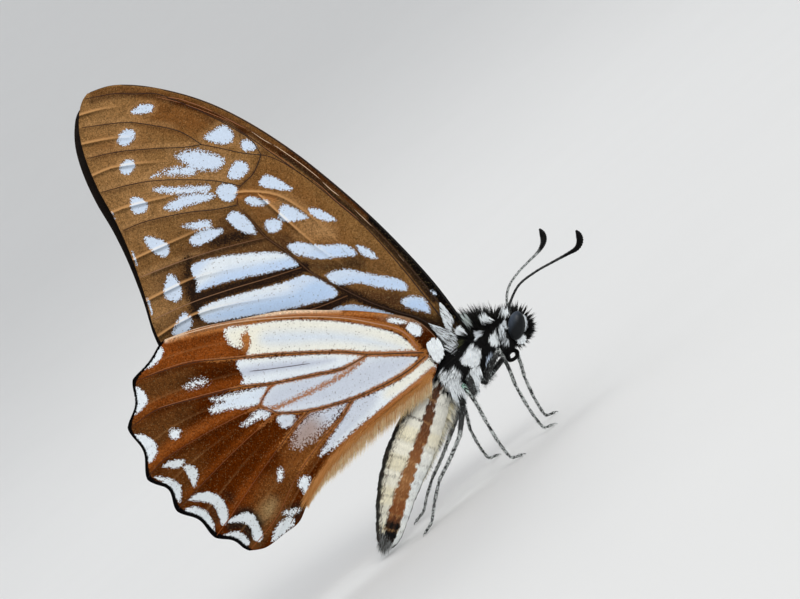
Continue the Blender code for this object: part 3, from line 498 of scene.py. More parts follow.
hindChart = {
    "node": "hindwing",
    "slot": "hindwing",
    "ahead": [
        (-2.7, -1.6), (-2.5, -0.6), (-2.8, 1.9), (-4, 3.9), (-7, 6.9), (-10, 9.4), (-13, 11.7), (-17, 13.8),
        (-21, 15.8), (-24.5, 17),
    ],
    # The teeth at the vein ends, each with the depth of the notch that follows it
    "teeth": [
        ((-24.5, 17), 0.22), ((-29.3, 15.7), 0.5), ((-32.7, 12.2), 0.65), ((-34.34, 7), 0.85),
        ((-34, 2.6), 0.55), ((-32.7, -1.8), 0.42), ((-30.9, -5.1), 0.0),
    ],
    "behind": [
        (-5.3, -3.2), (-6.6, -2.8), (-10, -2.7), (-15, -2.95), (-18.6, -3.5), (-21, -4.1), (-23.4, -5.1),
        (-25.2, -6), (-27.2, -6), (-29.4, -5.9), (-30.9, -5.1),
    ],
    "grid": (230, 204),
    "out": {"root": 1.9, "blade": 2.6, "over": 3.5, "far": 2.35},
    "thickness": 0.13,
    "shrink": 0.12,
    "sweep": 0.55,
    "frontRod": (0.08, 0.06),
    "frontColours": ("walnut", "tan"),
    "veins": {
        "subcosta": [(-4.7, 0.3), (-4.9, 2.6), (-6.7, 5.1), (-9.3, 7.9), (-13.3, 11.1), (-18, 14.1),
            (-22, 16), (-24.4, 16.9)],
        "sector": [(-4.5, -0.5), (-6.1, 0.7), (-9.1, 2.95), (-11.3, 5), (-16, 8.5), (-20, 11.1), (-24, 13.6),
            (-29.1, 15.5)],
        "media1": [(-9.1, 2.95), (-12, 3.4), (-14.7, 4.7), (-18.5, 6.6), (-21.3, 8.4), (-25.3, 10.2),
            (-29.3, 11.9), (-32.5, 12.1)],
        "cellEnd": [(-18.5, 6.6), (-19.6, 6.4), (-20.9, 5.7), (-20.4, 4.9), (-20.1, 4.05)],
        "media2": [(-20.9, 5.7), (-24, 6.4), (-28, 7.1), (-32, 7.5), (-34.2, 7.1)],
        "media3": [(-20.1, 4.05), (-24, 3.9), (-28, 3.5), (-33.8, 2.7)],
        "cubitus": [(-4.6, -0.9), (-6.7, -0.95), (-9.3, -0.6), (-13.2, 0.4), (-17.4, 2.2), (-20.1, 4.05)],
        "cubitus1": [(-17.4, 2.2), (-19.3, 1.9), (-24.7, 0.5), (-30, -1.1), (-32.5, -1.8)],
        "cubitus2": [(-13.2, 0.35), (-15.3, -0.4), (-18.7, -1.1), (-22.7, -2.3), (-26.7, -4.2),
            (-30.7, -5.05)],
        "anal": [(-4.9, -2.45), (-7, -2.5), (-10, -2.48), (-16, -2.75), (-22, -4), (-26, -5.6)],
    },
    "veinWidth": (0.2, 0.09),
    "veinColours": {
        "": ("umber", "bark"), "subcosta": ("copper", "tan"), "media2": ("ember", "bark"),
        "media3": ("ember", "bark"), "cubitus1": ("bark", "ember"), "cubitus2": ("umber", "ember"),
        "anal": ("amber", "walnut"), "cellEnd": ("ember", "bark"),
    },
    # The copper lines are a painted highlight on the lit side of the veins; the bark one is a dark line
    "pens": [
        ("copper", 0.07, [(-6.5, 5.35), (-9.3, 8.15), (-13.3, 11.35), (-18, 14.3), (-22, 16.15)]),
        ("copper", 0.06, [(-4.6, -0.3), (-6.1, 0.9), (-9.1, 3.15)]),
        ("copper", 0.05, [(-16, 8.72), (-20, 11.3), (-24, 13.8), (-28, 15.25)]),
        ("copper", 0.05, [(-21.3, 8.6), (-25.3, 10.4), (-29.3, 12.05)]),
        ("bark", 0.05, [(-14.3, 5.9), (-16, 6.9), (-18, 8.1), (-19.6, 9.1)]),
    ],
    "folds": [
        [(-26.6, 15.8), (-22, 14), (-17, 11.2), (-12, 7.6)],
        [(-31.2, 13), (-27, 12.2), (-20, 9.3), (-14, 6)],
        [(-32.9, 9.6), (-28.5, 9.4), (-24, 8.2), (-20.5, 6.8)],
        [(-33.4, 5.2), (-28, 5.5), (-22.5, 5)],
        [(-33, 0.4), (-27, 1.8), (-20.5, 2.9)],
        [(-31.4, -3.4), (-25, -1.7), (-18.5, 0.3)],
        [(-27.6, -5.6), (-22, -3.1), (-14, -1.2), (-6, -1.6)],
        [(-9.1, 2.9), (-12, 2.9), (-14.5, 3.3), (-17, 3.8), (-20, 4.6)],
    ],
    "foldShade": 0.12,
    "pale": [
        (0.2, [(-5, -0.2), (-5.3, 2.4), (-7.1, 5.1), (-9.6, 7.7), (-13, 10.6), (-16.9, 12.9), (-17.4, 11.8),
            (-18.2, 11), (-18.9, 10.4), (-17.3, 9.4), (-14.7, 7.6), (-11.3, 5.1), (-8, 2.2)]),
        (0.3, [(-17.1, 13.1), (-17.6, 13.45), (-18.5, 14), (-19.2, 13.85), (-19.5, 13), (-19.4, 12.2),
            (-18.9, 11.5), (-18.5, 11.5), (-18.3, 12.1), (-17.9, 12.4), (-17.2, 12.5)]),
        (0.2, [(-9.4, 3), (-11.3, 4.9), (-14.7, 7.3), (-18, 9.6), (-19.9, 10.8), (-20.4, 9.8), (-20.5, 9),
            (-21, 8.4), (-18.5, 6.8), (-15, 5), (-12, 3.5)]),
        (0.18, [(-5.3, -0.4), (-8, 1.9), (-9.3, 2.9), (-12, 3.3), (-14.7, 4.6), (-18.3, 6.5), (-20, 6.2),
            (-20.8, 5.7), (-20.2, 4.2), (-17.4, 2.3), (-13.2, 0.5), (-9.3, -0.5), (-6.7, -0.85)]),
        (0.3, [(-19, 6.7), (-19.6, 7.2), (-20.9, 7.8), (-22.6, 8.6), (-24.4, 9.4), (-24.2, 8.8),
            (-23.6, 8.4), (-25, 8.7), (-25.2, 8.1), (-23.6, 7.3), (-22, 6.3), (-20.5, 5.8)]),
        (0.26, [(-29.95, 9.1), (-29.5, 9.45), (-28.85, 9.1), (-28.85, 8.6), (-29.4, 8.3), (-29.9, 8.5)]),
        (0.55, [(-25.6, 12), (-24.6, 11.9), (-23.7, 11.3), (-23.7, 10.9), (-24.7, 11.2), (-25.5, 11.6)]),
        (0.34, [(-23.8, 5.3), (-22.7, 5.4), (-21.4, 5.6), (-20.8, 5.2), (-20.6, 4.4), (-21.2, 4.2),
            (-22, 4.7), (-23, 4.9)]),
        (0.22, [(-20.6, 3.4), (-19.9, 3.8), (-19.1, 3.3), (-18.8, 2.7), (-19.5, 2.1), (-20.4, 2.3)]),
        (0.75, [(-13.6, 0.5), (-15.5, 1.4), (-18.6, 2.1), (-20.2, 1.2), (-20.8, 0.1), (-18.7, -0.4),
            (-16, -0.3), (-14.3, 0)]),
        (0.26, [(-24.3, -1.55), (-24, -0.95), (-23.45, -0.45), (-23.1, -0.55), (-23.4, -1.15),
            (-23.9, -1.65)]),
        (0.3, [(-4.5, -0.9), (-6.7, -1.1), (-9.3, -0.85), (-12, -0.1), (-13.3, 0.2), (-15.3, -0.6),
            (-17.5, -1.3), (-19.4, -2), (-18, -2.4), (-16, -2.35), (-13, -2.3), (-10, -2.4), (-6, -2.6),
            (-4.4, -2.5)]),
        (0.26, [(-22.9, -2.9), (-22.1, -2.6), (-21.5, -3.1), (-22.1, -3.8), (-22.9, -4.5), (-23, -3.6)]),
        (0.18, [(-5.5, 4.5), (-4.9, 4.4), (-4.1, 3.4), (-4, 3), (-4.6, 3.3), (-5.3, 4)]),
        (0.18, [(-4.4, 2.6), (-3.6, 2.8), (-3.1, 1.9), (-3.6, 1.1), (-4.4, 1.6)]),
        (0.14, [(-28.2, 16.2), (-26.7, 16.35), (-25.2, 16.75), (-25.1, 16.2), (-25.9, 15.7), (-27, 15.6)]),
        (0.16, [(-29.9, 15), (-29.3, 14.7), (-29.3, 13.4), (-30.1, 12.9), (-31.4, 12.9), (-31.2, 13.4),
            (-30.5, 14.4)]),
        (0.16, [(-32.75, 11.3), (-32.1, 11), (-31.6, 10), (-31.5, 9.2), (-32.1, 8.4), (-33.2, 8.1),
            (-33.1, 9), (-32.8, 10.2)]),
        (0.16, [(-33.8, 6.8), (-33.1, 6.3), (-32.4, 5.3), (-32.2, 4.4), (-32.5, 3.9), (-33.3, 3.1),
            (-33.4, 4.1), (-33.3, 5.4)]),
        (0.16, [(-33.5, 2.2), (-32.5, 1.95), (-31.9, 1.1), (-31.8, 0.3), (-32, -0.8), (-32.5, -1.4),
            (-32.7, -0.4), (-32.8, 1)]),
        (0.16, [(-32.2, -2.3), (-31.1, -2.5), (-30.4, -3.1), (-30.3, -4.4), (-31, -4.6), (-31.3, -3.8)]),
        (0.2, [(-28.6, -5.85), (-27.5, -5), (-26.1, -4.75), (-25.4, -5.2), (-25.8, -5.9), (-27.2, -6)]),
        (0.16, [(-32.5, 7.1), (-31.6, 7.1), (-30.7, 6.6), (-30.3, 6.1), (-31.1, 5.9), (-31.9, 6.4)]),
        (0.16, [(-30.7, 5.8), (-30, 5.3), (-30, 4.4), (-30.7, 3.7), (-31.3, 3.4), (-31.1, 4.4),
            (-31, 5.2)]),
        (0.14, [(-32.5, 2.75), (-31.6, 2.8), (-30.6, 2.3), (-29.9, 1.3), (-29.8, 0.3), (-30.2, -0.8),
            (-30.9, -1.4), (-31.5, -1.4), (-31.2, -0.5), (-30.95, 0.4), (-31.1, 1.2), (-31.7, 1.9)]),
        (0.14, [(-30.9, -1.5), (-30, -1.4), (-28.8, -1.8), (-28.3, -2.5), (-28.5, -3.6), (-28.9, -4.8),
            (-29.6, -5), (-29.9, -4.5), (-29.5, -3.6), (-29.5, -2.8), (-30, -2.2)]),
        (0.3, [(-26, -4.3), (-25.3, -4.3), (-24.3, -4.9), (-24.7, -5.2), (-25.5, -4.9)]),
    ],
    "paleTint": "milk",
    "paleTones": [
        ("cream", 0.9, 0.9, [(-5, -0.2), (-5.3, 2.4), (-9.6, 7.7), (-13, 10.6), (-17.5, 13.4), (-19.5, 13.6),
            (-18.9, 10.4), (-14.7, 7.6), (-8, 2.2)]),
        ("ice", 0.75, 0.9, [(-5.8, 1.2), (-9, 5.6), (-13, 9.2), (-16, 11.2), (-16.5, 10), (-11, 6),
            (-7.5, 2.6)]),
        ("mist", 0.95, 0.45, [(-12, 4.6), (-15, 6.8), (-18.5, 9.1), (-20.6, 10), (-20.6, 9.2), (-18, 7.7),
            (-14.5, 5.6)]),
        ("ice", 0.5, 0.5, [(-19.5, 6.9), (-22, 8), (-24.5, 8.9), (-24.6, 8.2), (-21.4, 6.2)]),
        ("mist", 0.75, 1.0, [(-5.3, -0.4), (-8, 1.9), (-12, 3.3), (-18.3, 6.5), (-20.8, 5.7), (-20.2, 4.2),
            (-13.2, 0.5), (-6.7, -0.85)]),
        ("mist", 0.8, 0.8, [(-13.6, 0.5), (-18.6, 2.1), (-20.8, 0.1), (-16, -0.3)]),
        ("hazel", 0.7, 1.2, [(-17.8, 1.9), (-20.6, 1.6), (-21.2, -0.2), (-18.7, -0.8), (-17.2, 0.2)]),
        ("ash", 0.35, 1.0, [(-33.2, 7.6), (-29.4, 7.2), (-27.5, -1), (-24, -4), (-26, -6.4), (-31, -5.4),
            (-33.2, 2)]),
        ("cream", 0.7, 0.6, [(-4.5, -0.9), (-9.3, -0.85), (-10.5, -1.6), (-9, -2.2), (-4.4, -2.3)]),
        ("mist", 0.7, 0.6, [(-11, -0.6), (-13.3, 0.2), (-19.4, -2), (-16, -2), (-12, -1.6)]),
        ("mist", 0.6, 0.6, [(-20.6, 3.4), (-19.1, 3.3), (-18.8, 2.4), (-20.4, 2.3)]),
    ],
    "ground": "chestnut",
    "tones": [
        ("ember", 0.85, 1.2, [(-19, 14.6), (-24.3, 17.2), (-29.6, 15.8), (-24, 13.6), (-20, 11)]),
        ("bark", 0.5, 0.8, [(-19.6, 14.4), (-23.6, 16.4), (-23.8, 15.6), (-20.4, 13.8)]),
        ("walnut", 0.85, 1.0, [(-24, 13.4), (-29.2, 15.3), (-32.6, 12.3), (-29, 12.2), (-25, 11.4)]),
        ("bark", 0.55, 0.9, [(-20.6, 11.2), (-24.5, 12.8), (-26, 12.2), (-21.2, 9.8)]),
        ("walnut", 0.8, 1.0, [(-26.5, 10.6), (-32.4, 11.8), (-34.2, 7.2), (-30, 8.6), (-27, 9)]),
        ("bark", 0.5, 0.9, [(-25.4, 9.2), (-28, 10.2), (-28.4, 9.3), (-26, 8.2)]),
        ("ember", 0.75, 1.0, [(-5, 5.6), (-9, 9.2), (-14, 12.8), (-20, 15.8), (-24.4, 17.2), (-24, 16.2),
            (-18, 13.7), (-12, 9.7), (-6.4, 4.4)]),
        ("walnut", 0.6, 1.4, [(-28.4, 6.8), (-33.8, 6.6), (-33.8, 2.8), (-30, 3.6)]),
        ("ember", 0.5, 1.0, [(-26.6, 0.6), (-29, -0.2), (-29.8, -1), (-27.6, -1.4), (-25, -0.2)]),
        ("russet", 0.7, 0.9, [(-22, -1.2), (-24, -2.2), (-30.2, -4.6), (-28.4, -1.9), (-25.2, -0.4)]),
        ("rust", 0.6, 1.0, [(-16.8, 0.8), (-20.6, 1.2), (-22.4, 0.4), (-22.6, -2), (-17, -0.9)]),
        ("umber", 0.6, 0.5, [(-31.3, 2.6), (-30.6, 1.2), (-30.4, -0.4), (-31.3, -1.2), (-32, -0.9),
            (-31.6, 1)]),
        ("soot", 0.95, 0.4, [(-30.8, -1.5), (-28.8, -1.2), (-27.9, -2.4), (-28.2, -4.6), (-29.4, -5.5),
            (-30.8, -4.8), (-30.2, -3), (-31.4, -2.2)]),
        ("soot", 0.7, 0.6, [(-29.4, 1.2), (-29.3, -0.6), (-30.2, -1.5), (-29.6, -1.7), (-28.7, 0.2)]),
        ("soot", 0.8, 0.5, [(-25.8, -3.8), (-24.4, -4.2), (-23.4, -4.8), (-24.8, -5.9), (-26.2, -5.3),
            (-27.8, -4.9)]),
        ("amber", 0.85, 0.45, [(-17, 13), (-18.2, 12.8), (-18.8, 11), (-17.6, 10.8)]),
        ("sand", 0.38, 0.9, [(-26, -2.4), (-27.4, -2.6), (-27.7, -3.8), (-26.6, -3.9), (-25.7, -3.2)]),
        ("amber", 0.8, 0.5, [(-5.2, -2.1), (-12, -2.1), (-18, -2.6), (-23, -4.6), (-21, -4.6), (-15, -3.1),
            (-6, -2.8)]),
        ("bark", 0.75, 1.0, [(-3, -2), (-2.4, 0.5), (-3.4, 2.6), (-5.2, 4), (-4.9, 0.8), (-5, -2.5)]),
        ("hazel", 0.85, 0.6, [(-2.9, 2), (-3.6, 3.9), (-5.8, 6), (-5.6, 4.8), (-4.2, 3), (-3.5, 1.6)]),
    ],
    "ribbons": [
        ("tan", 0.95, 0.26, 0.2, [(-8.6, 8.3), (-10, 9.3), (-13, 11.55), (-17, 13.65), (-21, 15.65),
            (-24.2, 16.85)]),
        ("amber", 0.7, 0.22, 0.2, [(-5.2, 5), (-8.6, 7.9), (-13, 11), (-17, 13.1), (-21, 15.2),
            (-24, 16.6)]),
        ("bark", 0.7, 0.09, 0.1, [(-6.6, 5), (-9.3, 7.75), (-13.3, 10.95), (-18, 13.95), (-22, 15.85)]),
    ],
    # The orange bands on the lit side of the veins and the dark bands below them are the wing's own streaks,
    # made stronger as painted light and shade of the pleats
    "strips": [
        ("ember", 0.4, 0.1, 0.7, 0.4, {"sector": (0.62, 1)}),
        ("ember", 0.65, 0.1, 1.05, 0.6, {"media1": (0.5, 0.97)}),
        ("ember", 0.85, 0.1, 1.2, 0.6, {"media2": (0.08, 0.9)}),
        ("rust", 0.3, 0.5, 1.1, 0.4, {"media2": (0.4, 0.95)}),
        ("ember", 0.45, 0.08, 0.6, 0.4, {"media3": (0.1, 0.9)}),
        ("ember", 0.4, 0.08, 0.6, 0.4, {"cubitus1": (0.35, 0.92)}),
        ("russet", 0.6, -0.5, 0.6, 0.4, {"cubitus2": (0.3, 1)}),
        ("bark", 0.6, -0.4, -0.02, 0.25, {"sector": (0.55, 0.95), "media1": (0.5, 0.9)}),
        ("bark", 0.6, -0.5, -0.02, 0.3, {"media2": (0.05, 0.9)}),
        ("bark", 0.5, -0.4, -0.02, 0.3, {"media3": (0.05, 0.9)}),
        ("bark", 0.4, -0.4, -0.02, 0.3, {"cubitus1": (0.3, 0.9)}),
    ],
    "inkBands": [],
    "edgeInk": (0.15, 0.28),
    # Rust scales beside the veins: how far, from where on they fade, and how fast
    "rust": {"reach": 0.16, "from": -22.0, "fade": 2.0},
}


def marginOf(chart):
    # The outer margin from the front corner to the hind one, smooth or drawn from tooth to tooth
    if "margin" in chart:
        return smoothLine(chart["margin"], 8)
    found = []
    for (start, depth), (end, _) in zip(chart["teeth"], chart["teeth"][1:]):
        a, b = np.array(start), np.array(end)
        inward = np.array([-(b - a)[1], (b - a)[0]]) / np.linalg.norm(b - a)
        for t in np.linspace(0.0, 1.0, 14, endpoint=False):
            found.append(a + (b - a) * t + inward * depth * (0.5 - 0.5 * math.cos(2 * math.pi * t)))
    found.append(np.array(chart["teeth"][-1][0]))
    return np.array(found)


def outAt(chart, points):
    # How far the middle of the wing stands from the middle plane of the body
    form = chart["out"]
    if "far" not in form:
        return form["root"] + (form["blade"] - form["root"]) * ease(points[:, 1] / form["over"])
    run = np.linalg.norm(points - np.array([-4.0, -2.6]), axis=1)
    settle = (form["far"] - form["blade"]) * ease((run - 6.0) / 10.0)
    return form["root"] + (form["blade"] - form["root"]) * ease(run / form["over"]) + settle


def stretchOver(grid, chart):
    # Maps the unit square to the wing: across it runs from root to margin, up it from the hind edge
    # to the leading one. Points near the margin stay inside it by the chart's shrink.
    ahead = alongLine(smoothLine(chart["ahead"], 8), np.linspace(0, 1, 400))
    behind = alongLine(smoothLine(chart["behind"], 8), np.linspace(0, 1, 400))
    margin = alongLine(marginOf(chart)[::-1], np.linspace(0, 1, 900))
    root = np.linspace(behind[0], ahead[0], 50)
    inset = np.gradient(margin, axis=0)
    inset = np.stack([-inset[:, 1], inset[:, 0]], axis=1)
    inset /= np.linalg.norm(inset, axis=1)[:, None]
    # Nothing is taken off at the two corners
    room = np.minimum(1.0, 40 * np.linspace(0, 1, 900) * np.linspace(1, 0, 900))
    margin = margin + inset * chart["shrink"] * room[:, None]

    def pick(line, shares):
        run = np.linspace(0, 1, len(line))
        return np.stack([np.interp(shares, run, line[:, k]) for k in (0, 1)], axis=1)

    u, w = grid[:, :1], grid[:, 1:2]
    sides = (1 - w) * pick(behind, grid[:, 0]) + w * pick(ahead, grid[:, 0])
    ends = (1 - u) * pick(root, grid[:, 1]) + u * pick(margin, grid[:, 1])
    corners = ((1 - u) * ((1 - w) * behind[0] + w * ahead[0]) + u * ((1 - w) * margin[0] + w * margin[-1]))
    return sides + ends - corners


# Stands for a distance past the reach of any mark
farOff = 9.0


def inside(distance, feather):
    # 1 well inside a mark, 0 well outside it
    return ease(0.5 + 0.5 * (distance / feather))


def paintOver(colour, name, share):
    colour += (np.array(tint[name]) - colour) * share[:, None]


def paintPatches(colour, points, patches):
    for name, strength, feather, patch in patches:
        distance = insideDistance(points, smoothLine(patch, 3, closed=True))
        paintOver(colour, name, strength * inside(distance, feather))


def groundColour(chart, points, veins, spots):
    # The colour between the pale marks: patches, bands beside the veins, bands along lines
    ground = copies(tint[chart["ground"]], len(points))
    paintPatches(ground, points, chart["tones"])
    for colour, strength, low, high, feather, runs in chart["strips"]:
        for vein, (start, end) in runs.items():
            side, share = veins[vein]
            distance = np.minimum(side - low, high - side)
            ends = ease((share - start) / 0.12 + 0.5) * ease((end - share) / 0.06 + 0.5)
            paintOver(ground, colour, strength * inside(distance, feather) * ends)
    for colour, strength, half, feather, line in chart["ribbons"]:
        distance = half - lineDistance(points, smoothLine(line, 3))
        paintOver(ground, colour, strength * inside(distance, feather))
    if "halo" in chart:
        ring = np.exp(-((spots + 1.6) / 1.3) ** 2) * ease((points[:, 1] - chart["halo"]) / 3.0)
        paintOver(ground, "fawn", 0.34 * ring)
    return ground


def rustLines(chart, points, veinGap):
    # Over 0 where rust scales line the veins and the last fold
    if "rust" not in chart:
        return np.full(len(points), -farOff)
    form = chart["rust"]
    wide = form["reach"] + 0.16 * ease((points[:, 0] + 14.0) / 9.0)
    onFold = (0.22 - lineDistance(points, smoothLine(chart["folds"][-1], 3))) / 0.2
    rust = np.maximum((wide - veinGap) / 0.14, onFold)
    return rust - np.maximum(form["from"] - points[:, 0], 0.0) * form["fade"]


def wingMarks(chart, points):
    # What is painted on each point of the membrane, as seen from outside
    spots = np.full(len(points), -farOff)
    for feather, patch in chart["pale"]:
        spots = np.maximum(spots, insideDistance(points, smoothLine(patch, 4, closed=True)) / feather)
    ink = np.full(len(points), -farOff)
    for half, feather, line in chart["inkBands"]:
        ink = np.maximum(ink, (half - lineDistance(points, smoothLine(line, 3))) / feather)
    thin, thick = chart["edgeInk"]
    inkWidth = thin + (thick - thin) * ease((14.0 - points[:, 1]) / 12.0)
    for tooth, _ in chart.get("teeth", [])[1:-1]:
        inkWidth += 0.16 * np.exp(-(np.linalg.norm(points - np.array(tooth), axis=1) / 0.7) ** 2)
    veins = {name: lineSide(points, smoothLine(line, 3)) for name, line in chart["veins"].items()}
    veinGap = np.min([np.abs(side) for side, share in veins.values()], axis=0)
    foldGap = np.full(len(points), farOff)
    foldSide = np.full(len(points), farOff)
    foldShade = np.zeros(len(points))
    for line in chart["folds"]:
        side, share = lineSide(points, smoothLine(line, 3))
        near = np.abs(side) < foldGap
        foldGap = np.where(near, np.abs(side), foldGap)
        foldSide = np.where(near, side, foldSide)
        foldShade = np.where(near, chart["foldShade"] * ease(1.25 * (1 - share)), foldShade)
    pale = copies(tint[chart["paleTint"]], len(points))
    paintPatches(pale, points, chart["paleTones"])
    ridge = np.exp(-(foldGap / 0.4) ** 1.4) * foldShade
    return {
        "spots": spots,
        "ink": ink,
        "rustLines": rustLines(chart, points, veinGap),
        "foldGap": foldGap,
        "foldSide": foldSide,
        "foldShade": foldShade,
        "edgeGap": lineDistance(points, marginOf(chart)) - inkWidth,
        "ground": groundColour(chart, points, veins, spots),
        "paleTint": pale,
        "relief": 0.04 * np.exp(-(veinGap / 0.4) ** 2) + 0.11 * ridge,
    }


def giveMarks(mesh, marks):
    for name, values in marks.items():
        if values.ndim == 1:
            mesh.attributes.new(name, "FLOAT", "POINT").data.foreach_set("value", values.astype(np.float32))
        else:
            wide = np.hstack([values, np.ones((len(values), 1))]).astype(np.float32)
            mesh.attributes.new(name, "FLOAT_COLOR", "POINT").data.foreach_set("color", wide.ravel())


def meshOf(bm, name):
    mesh = bpy.data.meshes.new(name)
    bm.to_mesh(mesh)
    bm.free()
    return mesh


def readPoints(mesh):
    points = np.zeros(len(mesh.vertices) * 3)
    mesh.vertices.foreach_get("co", points)
    return points.reshape(-1, 3)


def show(name, mesh, finishes):
    piece = bpy.data.objects.new(name, mesh)
    bpy.context.scene.collection.objects.link(piece)
    for finish in finishes:
        mesh.materials.append(finish.material)
    return piece


def dress(name, mesh, finishes, slotName, *nodes):
    # A piece of the butterfly: it rides on the body and stands for these solids
    piece = show(name, mesh, finishes)
    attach(piece, "root")
    for node in nodes:
        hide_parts(node)
    return piece


def taken(piece):
    # The mesh of a piece with its modifiers and bevels made real. The piece itself is gone.
    bpy.context.view_layer.update()
    graph = bpy.context.evaluated_depsgraph_get()
    mesh = bpy.data.meshes.new_from_object(piece.evaluated_get(graph))
    bpy.data.objects.remove(piece)
    return mesh


def closeUp(mesh, nearby=0.0):
    # Merges points that are nearby, turns the faces outwards and shades them smoothly
    bm = bmesh.new()
    bm.from_mesh(mesh)
    if nearby > 0:
        bmesh.ops.remove_doubles(bm, verts=bm.verts, dist=nearby)
    bmesh.ops.recalc_face_normals(bm, faces=bm.faces)
    bm.to_mesh(mesh)
    bm.free()
    mesh.shade_smooth()


def swept(points, degrees):
    # Turns points of the side view about the wing root
    turn = math.radians(degrees)
    c, s = math.cos(turn), math.sin(turn)
    return points @ np.array([[c, s], [-s, c]])


# Widths in the look of the wings, in millimetres: a scale, a soft patch, a wide cloud
wingLook = {"scale": 0.09, "soft": 0.22, "cloud": 1.3, "relief": 0.03}


def wingOutside(name):
    finish = Finish(name, 0.7, {"Specular IOR Level": 0.01})
    where = finish.place()
    scales = finish.cells(where, wingLook["scale"], out=1)
    spread = finish.channel(scales, 0) - 0.5
    rare = finish.channel(scales, 1)
    warm = finish.channel(scales, 2)
    soft = finish.noise(where, wingLook["soft"], 3.0) - 0.5
    cloud = finish.noise(where, wingLook["cloud"], 4.0) - 0.5
    ragged = spread * 1.7 + soft * 1.5
    spots = (finish.attribute("spots") + ragged).between(-0.05, 0.6)
    ink = (finish.attribute("ink") + ragged).between(-0.4, 0.4)
    rust = (finish.attribute("rustLines") + ragged * 1.3).between(-0.6, 0.6)

    # The ground: each scale has its own tone, a few are sandy, and dark bands cross it
    light = 0.96 + cloud * 0.6 + spread * 0.75 + soft * 0.9
    ground = finish.shade(finish.attribute("ground", colour=True), light)
    sandy = finish.mix(0.35, finish.shade(ground, warm * 1.9), tint["sand"])
    ground = finish.mix(warm.between(0.86, 0.98) * 0.3, ground, sandy)
    dark = finish.mix(warm.between(0.7, 0.9) * 0.5, tint["soot"], tint["umber"])
    ground = finish.mix(ink, ground, dark)

    # The pale marks, with a dark scale here and there
    shine = 1.0 + cloud * 0.12 + spread * 0.1 + soft * 0.14
    pale = finish.shade(finish.attribute("paleTint", colour=True), shine)
    pale = finish.mix(rare.between(0.972, 0.98) * 0.5, pale, tint["umber"])
    colour = finish.mix(spots, ground, pale)
    colour = finish.mix(rust * 0.94, colour, finish.mix(soft * 1.6 + 0.45, tint["rust"], tint["amber"]))

    # Painted light on each fold: a painted highlight on the side that the light falls on,
    # painted shade on the other
    side = finish.attribute("foldSide")
    near = 1.0 - finish.attribute("foldGap").between(0.25, 0.7)
    near = near * finish.attribute("foldShade")
    above = side.between(-0.02, 0.05) * (1.0 - side.between(0.08, 0.34)) * near
    below = (1.0 - side.between(-0.08, 0.0)) * side.between(-0.5, -0.1) * near
    colour = finish.mix(above * 0.9, colour, finish.mix(spots * 0.8, tint["crest"], tint["fleece"]))
    colour = finish.shade(colour, 1.0 - below * 0.55)
    edge = 1.0 - (finish.attribute("edgeGap") + spread * 0.12 + soft * 0.12).between(-0.05, 0.05)
    finish.paint(finish.mix(edge, colour, tint["black"]))
    finish.roughen(0.68 + spread * 0.16)
    finish.raiseUp(spread * 0.6 + soft * 0.6, wingLook["relief"], 0.6)
    return finish


def wingInside(name):
    # The upper side, which faces the other wing: black with the same pale marks
    finish = Finish(name, 0.6, {"Specular IOR Level": 0.1})
    grain = finish.noise(finish.place(), 0.12) - 0.5
    spots = (finish.attribute("spots") + grain * 1.6).between(-0.3, 0.6)
    spots = spots * finish.attribute("edgeGap").between(0.6, 1.1)
    dark = finish.mix(grain + 0.5, tint["black"], tint["soot"])
    finish.paint(finish.mix(spots, dark, finish.attribute("paleTint", colour=True)))
    finish.raiseUp(grain, wingLook["relief"], 0.5)
    return finish


def onWing(chart, side, flat, lift):
    # Places on the wing of this side for points of its chart, lifted outwards by so many millimetres
    turned = swept(flat, chart["sweep"] if side > 0 else 0.0)
    return placeAll(np.stack([turned[:, 0], side * (outAt(chart, flat) + lift), turned[:, 1]], axis=1))


def buildWing(chart, outside, inside):
    across, up = chart["grid"]
    bm = bmesh.new()
    bmesh.ops.create_grid(bm, x_segments=across, y_segments=up, size=0.5)
    sheet = meshOf(bm, chart["node"])
    square = readPoints(sheet)[:, :2] + 0.5
    flat = stretchOver(np.clip(square, 0, 1), chart)
    marks = wingMarks(chart, flat)
    for side, sideName in sideNames.items():
        wing = chart["node"] + "_" + sideName
        mesh = sheet.copy()
        mesh.name = wing + "_membrane"
        points = onWing(chart, side, flat, marks["relief"])
        mesh.vertices.foreach_set("co", points.astype(np.float32).ravel())
        giveMarks(mesh, marks)
        mesh.update()
        outward = sum(polygon.normal.y for polygon in list(mesh.polygons)[::97])
        if outward * side < 0:
            mesh.flip_normals()
        mesh.shade_smooth()
        piece = dress(mesh.name, mesh, [outside, inside], chart["slot"], wing)
        wall = piece.modifiers.new("membrane", "SOLIDIFY")
        wall.thickness = chart["thickness"] * mm
        wall.offset = 0.0
        wall.material_offset = 1
        wall.material_offset_rim = 1
    bpy.data.meshes.remove(sheet)


def tubeMesh(name, lines, sides=3):
    # Round rods through rows of (x, y, z, radius) in metres, closed at both ends, as one mesh
    data = bpy.data.curves.new(name, "CURVE")
    data.dimensions = "3D"
    data.bevel_depth = 1.0
    data.bevel_resolution = sides
    data.use_fill_caps = True
    for line in lines:
        spline = data.splines.new("POLY")
        spline.points.add(len(line) - 1)
        for target, row in zip(spline.points, line):
            target.co = (*row[:3], 1.0)
            target.radius = row[3]
    mesh = taken(show(name, data, []))
    closeUp(mesh, 0.0002 * mm)
    mesh.name = name
    return mesh


